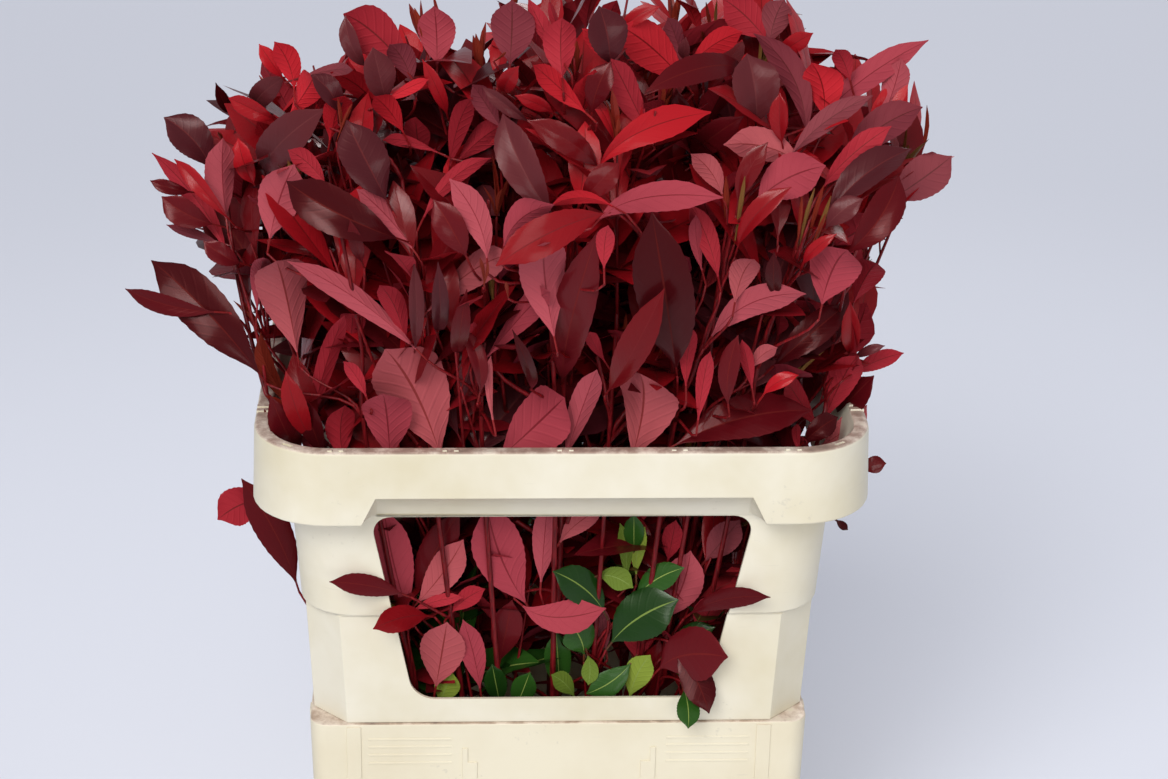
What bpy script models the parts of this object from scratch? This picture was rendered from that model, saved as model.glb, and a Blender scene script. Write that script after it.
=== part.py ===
"""Photinia red robin: cut stems standing in a flared plastic display container.

The container is a tapered bucket with a taller flared collar on it. The stems stand on the
bucket's floor, fan out through the collar and end inside the masses of foliage they carry.
Metres, +Z up, long side along X, front towards -Y, origin under the middle of the bucket.
"""
import math
import random

import bmesh
import bpy
from mathutils import Vector, noise

OBJECT_NAME = "photinia_red_robin"
SEED = 11
GAP = 0.0003
WELD = 0.00001
CUT_TOLERANCE = 0.0000001

# Container levels, upwards from the ground
BUCKET_TOP = 0.262
COLLAR_HEIGHT = 0.236
RIM = BUCKET_TOP + GAP + COLLAR_HEIGHT
FLOOR_THICK = 0.004
WALL = 0.003

# Container widths are half widths in X. The half depth in Y is less by DEPTH_LESS
DEPTH_LESS = 0.053
BUCKET_FOOT = 0.152
BUCKET_NECK = 0.179
BUCKET_LIP = 0.1855
BUCKET_LIP_TALL = 0.012
BUCKET_MOUTH = 0.1775
BUCKET_CORNER = 0.014

RIM_OUTER = 0.220
RIM_INNER = 0.209
RIM_CORNER = 0.056
RIM_EDGE = 0.0015
BAND_FOOT = 0.222
BAND_TALL = 0.055
BODY_TOP = 0.196
BODY_CORNER = 0.040
STEP_DROP = 0.142
STEP_TALL = 0.003
BODY_STEP = 0.1905
LOWER_TOP = 0.187
LOWER_FOOT = 0.183
CHAMFER_LEG = 0.0257
SPIGOT_OUTER = 0.1750
SPIGOT_TALL = 0.012
CORNER_STEPS = 4

# Windows of the collar: the long sides' half widths, and drops below the rim
WINDOW_TOP_DROP = 0.0605
WINDOW_FOOT_DROP = 0.216
WINDOW_TOP_HALF = 0.138
WINDOW_FOOT_HALF = 0.108
WINDOW_CORNER = 0.016
WINDOW_CORNER_STEPS = 3
WINDOW_CUT_DEPTH = 0.052

# Between its corners the band is less tall, and a sloping cut runs in under it
BAND_CUT_DROP = 0.0335
BAND_CUT_TOP_HALF = 0.1325
BAND_CUT_FOOT_HALF = 0.149
BAND_CUT_SLOPE = 1.05
BAND_CUT_DEPTH = 0.0355
BAND_CUT_CLEAR = 0.012

# Stems: places on the bucket's floor are an ellipse's half sizes
STEM_BASE_RADIUS = 0.0030
STEM_TIP_RADIUS = 0.0015
BOUGH_BASE_RADIUS = 0.0020
BOUGH_TIP_RADIUS = 0.0012
LIMB_POINTS = 7
LIMB_BOW = 0.008
LIMB_ENTRY = 0.40
LIMB_ROUNDNESS = 1
LIMB_SAMPLES = 200
FLOOR_OUTER = (0.070, 0.045)
FLOOR_INNER = (0.032, 0.020)
FORK_POINT = 4

# Foliage: height above the rim, ring half sizes, and half sizes of one mass
SKIRT = {"count": 8, "rise": 0.048, "ring": (0.182, 0.132), "size": (0.078, 0.066, 0.066)}
MIDDLE = {"count": 8, "rise": 0.150, "ring": (0.205, 0.146), "size": (0.092, 0.078, 0.070)}
TOP = {"count": 6, "rise": 0.226, "ring": (0.148, 0.088), "size": (0.096, 0.080, 0.072)}
INNER_RISE = 0.085
INNER_OFFSET = 0.066
INNER_SIZE = (0.078, 0.072, 0.074)
CROWN_TOP_RISE = 0.236
CROWN_TOP_SIZE = (0.080, 0.070, 0.074)
COLLAR_MASS_DROP = 0.118
COLLAR_MASS_OFFSET = (0.082, 0.056)
COLLAR_MASS_SIZE = (0.092, 0.066, 0.112)
COLLAR_CLEAR = 0.012
RIM_CLEAR = 0.003
MASS_SEGMENTS = 9
MASS_RINGS = 6
MASS_UNEVEN = 0.30
MASS_NOISE_SCALE = 1.5
MASS_NOISE_STRIDE = (7.3, 1.9)
RISE_JITTER = 0.010
SWELL = (0.95, 1.06)
MASS_REACH = 1.16
# The crown reaches further out at these masses, as factors on their distance
REACH_OUT = {
    "middle_mass_5": 1.06,
    "middle_mass_1": 1.04,
    "skirt_mass_4": 1.25,
    "skirt_mass_5": 1.32,
    "skirt_mass_1": 1.08,
    "skirt_mass_8": 1.08,
    "top_mass_6": 1.18,
    "top_mass_1": 1.14,
}

# Linear colour and roughness of each material
BUCKET_FINISH = ((0.84, 0.79, 0.63), 0.42)
COLLAR_FINISH = ((0.87, 0.84, 0.70), 0.42)
STEM_FINISH = ((0.10, 0.020, 0.016), 0.55)
FOLIAGE_FINISH = ((0.30, 0.035, 0.040), 0.45)


def clear_scene():
    """Remove what the scene holds."""
    for item in list(bpy.data.objects):
        bpy.data.objects.remove(item, do_unlink=True)


def make_collection(name):
    """Return a new collection linked to the scene."""
    collection = bpy.data.collections.new(name)
    bpy.context.scene.collection.children.link(collection)
    return collection


def make_material(name, colour, roughness):
    """Return a Principled material of one colour."""
    material = bpy.data.materials.new(name)
    material.use_nodes = True
    shader = material.node_tree.nodes["Principled BSDF"]
    shader.inputs["Base Color"].default_value = (*colour, 1.0)
    shader.inputs["Roughness"].default_value = roughness
    shader.inputs["Metallic"].default_value = 0.0
    material.diffuse_color = (*colour, 1.0)
    return material


def new_object(name, data, material, collection):
    """Link an object of the data with one material."""
    item = bpy.data.objects.new(name, data)
    if material:
        data.materials.append(material)
    collection.objects.link(item)
    return item


def mesh_from(bm, name):
    """Turn a bmesh into mesh data with its normals outwards."""
    bmesh.ops.recalc_face_normals(bm, faces=bm.faces)
    mesh = bpy.data.meshes.new(name)
    bm.to_mesh(mesh)
    bm.free()
    return mesh


def corner_ring(bm, half, corner, height, rounded=True):
    """Add one ring of vertices: a rectangle with four round or chamfered corners."""
    half_x = half
    half_y = half - DEPTH_LESS
    ring = []
    for quarter in range(4):
        start = math.pi / 2 * quarter
        sign_x = 1 if quarter in (0, 3) else -1
        sign_y = 1 if quarter in (0, 1) else -1
        centre = Vector((sign_x * (half_x - corner), sign_y * (half_y - corner)))
        first = Vector((math.cos(start), math.sin(start)))
        last = Vector((math.cos(start + math.pi / 2), math.sin(start + math.pi / 2)))
        for step in range(CORNER_STEPS + 1):
            share = step / CORNER_STEPS
            angle = start + math.pi / 2 * share
            arc = Vector((math.cos(angle), math.sin(angle)))
            chord = first.lerp(last, share)
            point = centre + corner * (arc if rounded else chord)
            ring.append(bm.verts.new((point.x, point.y, height)))
    return ring


def join_rings(bm, lower, upper):
    """Close the strip between two rings with quads."""
    count = len(lower)
    for index in range(count):
        after = (index + 1) % count
        bm.faces.new((lower[index], lower[after], upper[after], upper[index]))


def build_bucket(material, collection):
    """Tapered bucket with a floor and an outward lip round its mouth."""
    bm = bmesh.new()
    lip_foot = BUCKET_TOP - BUCKET_LIP_TALL
    inner = BUCKET_CORNER - WALL
    outline = [
        (BUCKET_FOOT, BUCKET_CORNER, 0.0),
        (BUCKET_NECK, BUCKET_CORNER, lip_foot),
        (BUCKET_LIP, BUCKET_CORNER, lip_foot + WALL),
        (BUCKET_LIP, BUCKET_CORNER, BUCKET_TOP),
        (BUCKET_MOUTH, inner, BUCKET_TOP),
        (BUCKET_NECK - WALL, inner, lip_foot),
        (BUCKET_FOOT - WALL, inner, FLOOR_THICK),
    ]
    rings = [corner_ring(bm, *place) for place in outline]
    for lower, upper in zip(rings, rings[1:]):
        join_rings(bm, lower, upper)
    bm.faces.new(rings[0])
    bm.faces.new(rings[-1])
    return new_object("bucket", mesh_from(bm, "bucket"), material, collection)


def rounded_outline(corners, radius, steps):
    """Return a polygon's points with each corner turned into an arc of the radius."""
    points = []
    for index, corner in enumerate(corners):
        before = (Vector(corners[index - 1]) - Vector(corner)).normalized()
        after = (Vector(corners[(index + 1) % len(corners)]) - Vector(corner)).normalized()
        half_angle = before.angle(after) / 2
        inwards = (before + after).normalized()
        centre = Vector(corner) + inwards * (radius / math.sin(half_angle))
        start = Vector(corner) + before * (radius / math.tan(half_angle)) - centre
        finish = Vector(corner) + after * (radius / math.tan(half_angle)) - centre
        for step in range(steps + 1):
            arm = start.lerp(finish, step / steps).normalized() * radius
            points.append(centre + arm)
    return points


def side_frame(side):
    """Return the outward and the sideways direction of one side of the container."""
    outward = (Vector((0, -1, 0)), Vector((1, 0, 0)), Vector((0, 1, 0)), Vector((-1, 0, 0)))[side]
    return outward, Vector((0, 0, 1)).cross(outward) * -1


def add_prism(bm, outline, outward, sideways, start, travel):
    """Add a closed prism of an outline in a side's plane, moved along the travel."""
    verts = []
    for across, height in outline:
        point = outward * start + sideways * across + Vector((0, 0, height))
        verts.append(bm.verts.new(point))
    face = bm.faces.new(verts)
    moved = bmesh.ops.extrude_face_region(bm, geom=[face])["geom"]
    new_verts = [item for item in moved if isinstance(item, bmesh.types.BMVert)]
    bmesh.ops.translate(bm, verts=new_verts, vec=travel)


def window_cutter(collection):
    """Four prisms that open a window in each side of the collar."""
    bm = bmesh.new()
    for side in range(4):
        outward, sideways = side_frame(side)
        less = DEPTH_LESS if side % 2 else 0.0
        reach = RIM_OUTER - (0.0 if side % 2 else DEPTH_LESS)
        top_half = WINDOW_TOP_HALF - less
        foot_half = WINDOW_FOOT_HALF - less
        top = RIM - WINDOW_TOP_DROP
        foot = RIM - WINDOW_FOOT_DROP
        window = [(-foot_half, foot), (foot_half, foot), (top_half, top), (-top_half, top)]
        outline = rounded_outline(window, WINDOW_CORNER, WINDOW_CORNER_STEPS)
        add_prism(bm, outline, outward, sideways, reach + WALL, outward * -WINDOW_CUT_DEPTH)
    return new_object("window_cutter", mesh_from(bm, "window_cutter"), None, collection)


def band_cutter(collection):
    """Four slanted prisms that raise the band's lower edge between the corners."""
    bm = bmesh.new()
    for side in range(4):
        outward, sideways = side_frame(side)
        less = DEPTH_LESS if side % 2 else 0.0
        reach = RIM_OUTER - (0.0 if side % 2 else DEPTH_LESS)
        top = RIM - BAND_CUT_DROP + BAND_CUT_CLEAR * BAND_CUT_SLOPE
        foot = RIM - BAND_TALL - BAND_CUT_CLEAR
        top_half = BAND_CUT_TOP_HALF - less
        foot_half = BAND_CUT_FOOT_HALF - less
        outline = [(-foot_half, foot), (foot_half, foot), (top_half, top), (-top_half, top)]
        slope = (outward * -1 + Vector((0, 0, -BAND_CUT_SLOPE))) * BAND_CUT_DEPTH
        add_prism(bm, outline, outward, sideways, reach + BAND_CUT_CLEAR, slope)
    return new_object("band_cutter", mesh_from(bm, "band_cutter"), None, collection)


def add_difference(item, cutter):
    """Cut one object out of another."""
    modifier = item.modifiers.new("cut", "BOOLEAN")
    modifier.operation = "DIFFERENCE"
    modifier.solver = "EXACT"
    modifier.object = cutter


def build_collar(material, collection, cutters):
    """Flared collar with a deep rim band, a stepped body and a spigot in the bucket's mouth."""
    bm = bmesh.new()
    foot = RIM - COLLAR_HEIGHT
    ledge = RIM - STEP_DROP
    inner_leg = CHAMFER_LEG - WALL * (2 - math.sqrt(2))
    outline = [
        (LOWER_FOOT, CHAMFER_LEG, foot, False),
        (LOWER_TOP, CHAMFER_LEG, ledge - STEP_TALL, False),
        (BODY_STEP, BODY_CORNER, ledge, True),
        (BODY_TOP, BODY_CORNER, RIM - BAND_TALL - WALL, True),
        (BAND_FOOT, RIM_CORNER, RIM - BAND_TALL, True),
        (RIM_OUTER, RIM_CORNER, RIM - RIM_EDGE, True),
        (RIM_OUTER - RIM_EDGE, RIM_CORNER - RIM_EDGE, RIM, True),
        (RIM_INNER, RIM_CORNER - RIM_OUTER + RIM_INNER, RIM, True),
        (BODY_TOP - WALL, BODY_CORNER - WALL, RIM - BAND_TALL - WALL, True),
        (BODY_STEP - WALL, BODY_CORNER - WALL, ledge, True),
        (LOWER_TOP - WALL, inner_leg, ledge - STEP_TALL, False),
        (LOWER_FOOT - WALL, inner_leg, foot + WALL, False),
        (SPIGOT_OUTER - WALL, inner_leg, foot, False),
        (SPIGOT_OUTER - WALL, inner_leg, foot - SPIGOT_TALL, False),
        (SPIGOT_OUTER, inner_leg, foot - SPIGOT_TALL, False),
        (SPIGOT_OUTER, inner_leg, foot, False),
    ]
    rings = [corner_ring(bm, *place) for place in outline]
    for lower, upper in zip(rings, rings[1:] + rings[:1]):
        join_rings(bm, lower, upper)
    collar = new_object("collar", mesh_from(bm, "collar"), material, collection)
    add_difference(collar, window_cutter(cutters))
    add_difference(collar, band_cutter(cutters))
    return collar


def ellipse_place(half_sizes, index, count, turn):
    """Return the place of one of several points spread round an ellipse."""
    angle = 2 * math.pi * (index + turn) / count
    return Vector((half_sizes[0] * math.cos(angle), half_sizes[1] * math.sin(angle), 0.0))


def ring_masses(kind, ring, turn, rng):
    """Return name, centre and half sizes for each mass of one ring of the crown."""
    masses = []
    for index in range(ring["count"]):
        name = f"{kind}_mass_{index + 1}"
        centre = ellipse_place(ring["ring"], index, ring["count"], turn) * REACH_OUT.get(name, 1.0)
        centre.z = RIM + ring["rise"] + rng.uniform(-RISE_JITTER, RISE_JITTER)
        swell = rng.uniform(*SWELL)
        masses.append({"name": name, "centre": centre, "size": Vector(ring["size"]) * swell})
    return masses


def plan_masses(rng):
    """Place every mass of foliage, from the collar's inside up to the crown's top."""
    masses = []
    for index, (side_x, side_y) in enumerate(((-1, -1), (1, -1), (1, 1), (-1, 1))):
        centre = Vector((side_x * COLLAR_MASS_OFFSET[0], side_y * COLLAR_MASS_OFFSET[1], 0.0))
        centre.z = RIM - COLLAR_MASS_DROP
        name = f"collar_mass_{index + 1}"
        masses.append({"name": name, "centre": centre, "size": Vector(COLLAR_MASS_SIZE)})
    masses += ring_masses("skirt", SKIRT, 0.5, rng)
    masses += ring_masses("middle", MIDDLE, 0.0, rng)
    masses += ring_masses("top", TOP, 0.5, rng)
    for index, side in enumerate((-1, 1)):
        centre = Vector((side * INNER_OFFSET, 0.0, RIM + INNER_RISE))
        masses.append({"name": f"inner_mass_{index + 1}", "centre": centre, "size": Vector(INNER_SIZE)})
    centre = Vector((0.0, 0.0, RIM + CROWN_TOP_RISE))
    masses.append({"name": "crown_top_mass", "centre": centre, "size": Vector(CROWN_TOP_SIZE)})
    return masses


def support(mass, direction):
    """Return how far a mass reaches from its centre in a direction."""
    scaled = Vector([size * part for size, part in zip(mass["size"], direction)])
    return scaled.length


def mass_planes(mass, masses):
    """Return the planes that part a mass from its neighbours and from the container."""
    planes = []
    for other in masses:
        if other is mass:
            continue
        between = other["centre"] - mass["centre"]
        direction = between.normalized()
        mine = support(mass, direction) * MASS_REACH
        theirs = support(other, direction) * MASS_REACH
        if mine + theirs > between.length:
            share = between.length * mine / (mine + theirs) - GAP / 2
            planes.append((mass["centre"] + direction * share, direction))
    up = Vector((0, 0, 1))
    if mass["name"].startswith("collar"):
        planes.append((up * (RIM - RIM_CLEAR), up))
        planes.append((up * (RIM - WINDOW_FOOT_DROP), -up))
        for side in range(4):
            outward = side_frame(side)[0]
            reach = LOWER_FOOT - WALL - COLLAR_CLEAR - (0.0 if side % 2 else DEPTH_LESS)
            planes.append((outward * reach, outward))
    else:
        planes.append((up * (RIM + RIM_CLEAR), -up))
    return planes


def build_mass(mass, masses, number, material, collection):
    """One closed, uneven solid of leaves, cut flat where it meets its neighbours."""
    bm = bmesh.new()
    bmesh.ops.create_uvsphere(bm, u_segments=MASS_SEGMENTS, v_segments=MASS_RINGS, radius=1.0)
    stride = MASS_NOISE_STRIDE
    for vert in bm.verts:
        sample = vert.co * MASS_NOISE_SCALE + Vector((number * stride[0], SEED, number * stride[1]))
        vert.co *= 1.0 + MASS_UNEVEN * noise.noise(sample)
    bmesh.ops.scale(bm, verts=bm.verts, vec=mass["size"])
    bmesh.ops.translate(bm, verts=bm.verts, vec=mass["centre"])
    for point, normal in mass_planes(mass, masses):
        everything = bm.verts[:] + bm.edges[:] + bm.faces[:]
        bmesh.ops.bisect_plane(
            bm, geom=everything, dist=CUT_TOLERANCE, plane_co=point, plane_no=normal, clear_outer=True
        )
        rim_edges = [edge for edge in bm.edges if edge.is_boundary]
        if rim_edges:
            bmesh.ops.holes_fill(bm, edges=rim_edges, sides=0)
    bmesh.ops.remove_doubles(bm, verts=bm.verts, dist=WELD)
    bmesh.ops.triangulate(bm, faces=bm.faces)
    return new_object(mass["name"], mesh_from(bm, mass["name"]), material, collection)


def stem_plan(base, mass, name):
    """Return a stem's points and radii, from the floor into the mass it carries."""
    start = Vector((base.x, base.y, FLOOR_THICK + GAP))
    towards = (mass["centre"] - start).normalized()
    finish = mass["centre"] - towards * support(mass, towards) * LIMB_ENTRY
    stem = limb_plan(name, start, finish, STEM_BASE_RADIUS, STEM_TIP_RADIUS)
    rise = (stem["points"][1] - stem["points"][0]).normalized()
    lift = STEM_BASE_RADIUS * Vector((rise.x, rise.y)).length
    stem["points"][0] = start + Vector((0.0, 0.0, lift))
    return stem


def limb_plan(name, start, finish, base_radius, tip_radius):
    """Return the points and radii of one limb, whose middle bows slightly inwards."""
    flat = Vector((finish.x - start.x, finish.y - start.y, 0.0))
    bow = flat.normalized() * -LIMB_BOW if flat.length > LIMB_BOW else Vector()
    points = []
    radii = []
    for index in range(LIMB_POINTS):
        share = index / (LIMB_POINTS - 1)
        points.append(start.lerp(finish, share) + bow * math.sin(math.pi * share))
        radii.append(base_radius + (tip_radius - base_radius) * share)
    return {"name": name, "points": points, "radii": radii}


def plan_limbs(masses):
    """Plan the stems from the floor, then the boughs that branch from the outer ones."""
    by_name = {mass["name"]: mass for mass in masses}
    limbs = []
    for index in range(MIDDLE["count"]):
        number = index + 1
        base = ellipse_place(FLOOR_OUTER, index, MIDDLE["count"], 0.0)
        stem = stem_plan(base, by_name[f"middle_mass_{number}"], f"outer_stem_{number}")
        limbs.append(stem)
        limbs.append(bough_plan(stem, by_name[f"skirt_mass_{number}"], f"bough_{number}"))
    for index in range(TOP["count"]):
        number = index + 1
        base = ellipse_place(FLOOR_INNER, index, TOP["count"], 0.5)
        limbs.append(stem_plan(base, by_name[f"top_mass_{number}"], f"inner_stem_{number}"))
    limbs.append(stem_plan(Vector(), by_name["crown_top_mass"], "centre_stem"))
    return limbs


def bough_plan(stem, mass, name):
    """Return a side shoot that leaves its stem above the middle and enters a mass."""
    place = stem["points"][FORK_POINT]
    towards = mass["centre"] - place
    sideways = Vector((towards.x, towards.y, 0.0)).normalized()
    clear = stem["radii"][FORK_POINT] + BOUGH_BASE_RADIUS + 2 * GAP
    start = place + sideways * clear
    direction = (mass["centre"] - start).normalized()
    finish = mass["centre"] - direction * support(mass, direction) * LIMB_ENTRY
    return limb_plan(name, start, finish, BOUGH_BASE_RADIUS, BOUGH_TIP_RADIUS)


def limb_curve(name, points, radii):
    """Return curve data for a round limb that tapers from point to point."""
    curve = bpy.data.curves.new(name, "CURVE")
    curve.dimensions = "3D"
    curve.bevel_depth = 1.0
    curve.bevel_resolution = LIMB_ROUNDNESS
    curve.use_fill_caps = True
    spline = curve.splines.new("POLY")
    spline.points.add(len(points) - 1)
    for knot, point, radius in zip(spline.points, points, radii):
        knot.co = (*point, 1.0)
        knot.radius = radius
    return curve


def limb_cutter(limbs, name, collection):
    """Return one mesh of the limbs, fatter and longer by the gap, to cut out of a mass."""
    bm = bmesh.new()
    for limb in limbs:
        points = list(limb["points"])
        points[-1] = points[-1] + (points[-1] - points[-2]).normalized() * GAP
        radii = [radius + GAP for radius in limb["radii"]]
        holder = new_object("limb_sleeve", limb_curve("limb_sleeve", points, radii), None, collection)
        bm.from_mesh(bpy.data.meshes.new_from_object(holder))
        bpy.data.objects.remove(holder, do_unlink=True)
    bmesh.ops.remove_doubles(bm, verts=bm.verts, dist=WELD)
    bmesh.ops.triangulate(bm, faces=bm.faces)
    return new_object(name, mesh_from(bm, name), None, collection)


def limb_near(limb, item):
    """Tell whether a limb passes near an object's mesh."""
    middle = sum((vert.co for vert in item.data.vertices), Vector()) / len(item.data.vertices)
    reach = max((vert.co - middle).length for vert in item.data.vertices) + STEM_BASE_RADIUS
    for index in range(LIMB_SAMPLES + 1):
        place = index / LIMB_SAMPLES * (LIMB_POINTS - 1)
        first = min(int(place), LIMB_POINTS - 2)
        point = limb["points"][first].lerp(limb["points"][first + 1], place - first)
        if (point - middle).length < reach:
            return True
    return False


def build_plant(collection, cutters):
    """Stems and boughs, and the masses of foliage cut clear of them."""
    rng = random.Random(SEED)
    wood = make_material("dark_red_stem_wood", *STEM_FINISH)
    leaves = make_material("red_foliage", *FOLIAGE_FINISH)
    masses = plan_masses(rng)
    limbs = plan_limbs(masses)
    for limb in limbs:
        curve = limb_curve(limb["name"], limb["points"], limb["radii"])
        new_object(limb["name"], curve, wood, collection)
    for number, mass in enumerate(masses):
        item = build_mass(mass, masses, number, leaves, collection)
        near = [limb for limb in limbs if limb_near(limb, item)]
        if near:
            add_difference(item, limb_cutter(near, f"{mass['name']}_cutter", cutters))


def main():
    """Build the container and the plant."""
    clear_scene()
    collection = make_collection(OBJECT_NAME)
    cutters = make_collection(f"{OBJECT_NAME}_cutters")
    plastic = make_material("ivory_bucket_plastic", *BUCKET_FINISH)
    collar_plastic = make_material("ivory_collar_plastic", *COLLAR_FINISH)
    build_bucket(plastic, collection)
    build_collar(collar_plastic, collection, cutters)
    build_plant(collection, cutters)
    for item in cutters.objects:
        item.display_type = "WIRE"
        item.hide_render = True


main()
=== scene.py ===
"""Looks of the photinia red robin: cut stems with red leaves in an ivory display container."""
import logging
import math
from dataclasses import dataclass, field
from enum import Enum
from typing import Iterable, Sequence

import bmesh
import bpy
import numpy as np
from bmesh.types import BMEdge, BMesh, BMFace, BMVert
from bpy.types import Light, Material, Mesh, Node, NodeSocket, NodeTree, Object
from mathutils import Matrix, Vector
from mathutils.bvhtree import BVHTree


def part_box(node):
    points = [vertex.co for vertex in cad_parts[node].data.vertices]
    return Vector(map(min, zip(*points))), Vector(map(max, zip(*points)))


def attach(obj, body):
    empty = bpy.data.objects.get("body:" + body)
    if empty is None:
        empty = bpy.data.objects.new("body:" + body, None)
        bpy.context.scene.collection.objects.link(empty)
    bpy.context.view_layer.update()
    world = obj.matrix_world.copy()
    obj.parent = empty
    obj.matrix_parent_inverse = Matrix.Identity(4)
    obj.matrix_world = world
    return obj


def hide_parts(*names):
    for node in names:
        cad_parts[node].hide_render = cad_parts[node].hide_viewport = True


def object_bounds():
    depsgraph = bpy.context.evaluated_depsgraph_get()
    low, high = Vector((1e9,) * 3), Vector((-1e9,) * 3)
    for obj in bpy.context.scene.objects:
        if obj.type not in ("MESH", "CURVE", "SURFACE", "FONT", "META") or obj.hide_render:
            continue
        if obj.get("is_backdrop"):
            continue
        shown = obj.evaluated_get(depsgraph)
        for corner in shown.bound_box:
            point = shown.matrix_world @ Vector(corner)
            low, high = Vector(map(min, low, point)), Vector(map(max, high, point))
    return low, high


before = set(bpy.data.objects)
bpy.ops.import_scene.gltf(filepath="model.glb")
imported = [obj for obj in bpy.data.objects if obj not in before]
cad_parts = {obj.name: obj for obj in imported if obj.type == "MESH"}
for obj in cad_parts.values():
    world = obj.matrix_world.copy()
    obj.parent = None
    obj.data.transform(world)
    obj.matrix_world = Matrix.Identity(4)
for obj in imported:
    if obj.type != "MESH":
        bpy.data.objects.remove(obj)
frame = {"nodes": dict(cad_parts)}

LOG = logging.getLogger("photinia")
SEED = 29
MM = 0.001
GOLDEN_TURN = math.radians(137.5)
SHARP_DEG = 32.0
UP = Vector((0.0, 0.0, 1.0))


# Colours and nodes


def srgb(code: str) -> tuple[float, float, float, float]:
    """Turn an sRGB hex value into a linear colour.

    Args:
        code: six hex digits.

    Returns:
        Red, green, blue and an alpha of one.
    """
    parts = [int(code[start:start + 2], 16) / 255 for start in (0, 2, 4)]
    linear = [part / 12.92 if part <= 0.04045 else ((part + 0.055) / 1.055) ** 2.4 for part in parts]
    return (*linear, 1.0)


def connect(tree: NodeTree, node: Node, **inputs: object) -> Node:
    """Link or set a node's inputs.

    Args:
        tree: the material's node tree.
        node: the node.
        inputs: socket names, with spaces as underscores, or numbers as n0, n1. A socket is linked,
            and any other value is set.

    Returns:
        The same node.
    """
    for name, value in inputs.items():
        key = int(name[1:]) if name[0] == "n" and name[1:].isdigit() else name.replace("_", " ")
        if isinstance(value, NodeSocket):
            tree.links.new(value, node.inputs[key])
        else:
            node.inputs[key].default_value = value
    return node


def add_node(tree: NodeTree, kind: str, settings: dict | None = None, **inputs: object) -> Node:
    """Add a node with its settings and its inputs.

    Args:
        tree: the material's node tree.
        kind: the node's type name.
        settings: the node's own properties.
        inputs: its inputs, as connect takes them.

    Returns:
        The new node.
    """
    node = tree.nodes.new(kind)
    for name, value in (settings or {}).items():
        setattr(node, name, value)
    return connect(tree, node, **inputs)


def new_material(name: str) -> tuple[Material, NodeTree, Node]:
    """Return a new material, its tree and its Principled shader."""
    material = bpy.data.materials.new(name)
    material.use_nodes = True
    return material, material.node_tree, material.node_tree.nodes["Principled BSDF"]


def colour_ramp(tree: NodeTree, factor: NodeSocket, stops: Sequence[tuple[float, str]]) -> NodeSocket:
    """Add a colour ramp and return its colour.

    Args:
        tree: the material's node tree.
        factor: what drives the ramp.
        stops: places from 0 to 1 with their hex colours.

    Returns:
        The ramp's colour socket.
    """
    ramp = add_node(tree, "ShaderNodeValToRGB", None, Fac=factor)
    elements = ramp.color_ramp.elements
    while len(elements) < len(stops):
        elements.new(0.5)
    for element, (place, code) in zip(elements, stops):
        element.position = place
        element.color = srgb(code)
    return ramp.outputs["Color"]


def calculate(tree: NodeTree, operation: str, *values: object) -> NodeSocket:
    """Add a Math node on some values and return its result."""
    inputs = {f"n{number}": value for number, value in enumerate(values)}
    return add_node(tree, "ShaderNodeMath", {"operation": operation}, **inputs).outputs["Value"]


def rescale(tree: NodeTree, value: NodeSocket, **limits: float) -> NodeSocket:
    """Add a Map Range node and return its result."""
    return add_node(tree, "ShaderNodeMapRange", None, Value=value, **limits).outputs["Result"]


def add_noise(tree: NodeTree, place: NodeSocket, scale: float, detail: float,
              roughness: float = 0.5) -> NodeSocket:
    """Add a noise texture and return its value."""
    noise = add_node(tree, "ShaderNodeTexNoise", None, Vector=place, Scale=scale, Detail=detail,
                     Roughness=roughness)
    return noise.outputs["Fac"]


def mix_colours(tree: NodeTree, factor: NodeSocket, first: object, second: object) -> NodeSocket:
    """Mix two colours and return the result: inputs 6 and 7 and output 2 carry the colours."""
    mix = add_node(tree, "ShaderNodeMix", {"data_type": "RGBA"}, Factor=factor, n6=first, n7=second)
    return mix.outputs[2]


def add_bump(tree: NodeTree, shader: Node, height: NodeSocket, strength: float, distance: float) -> None:
    """Let a height raise the surface of a shader."""
    bump = add_node(tree, "ShaderNodeBump", None, Strength=strength, Distance=distance,
                    Height=height)
    connect(tree, shader, Normal=bump.outputs["Normal"])


# Finishes


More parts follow.
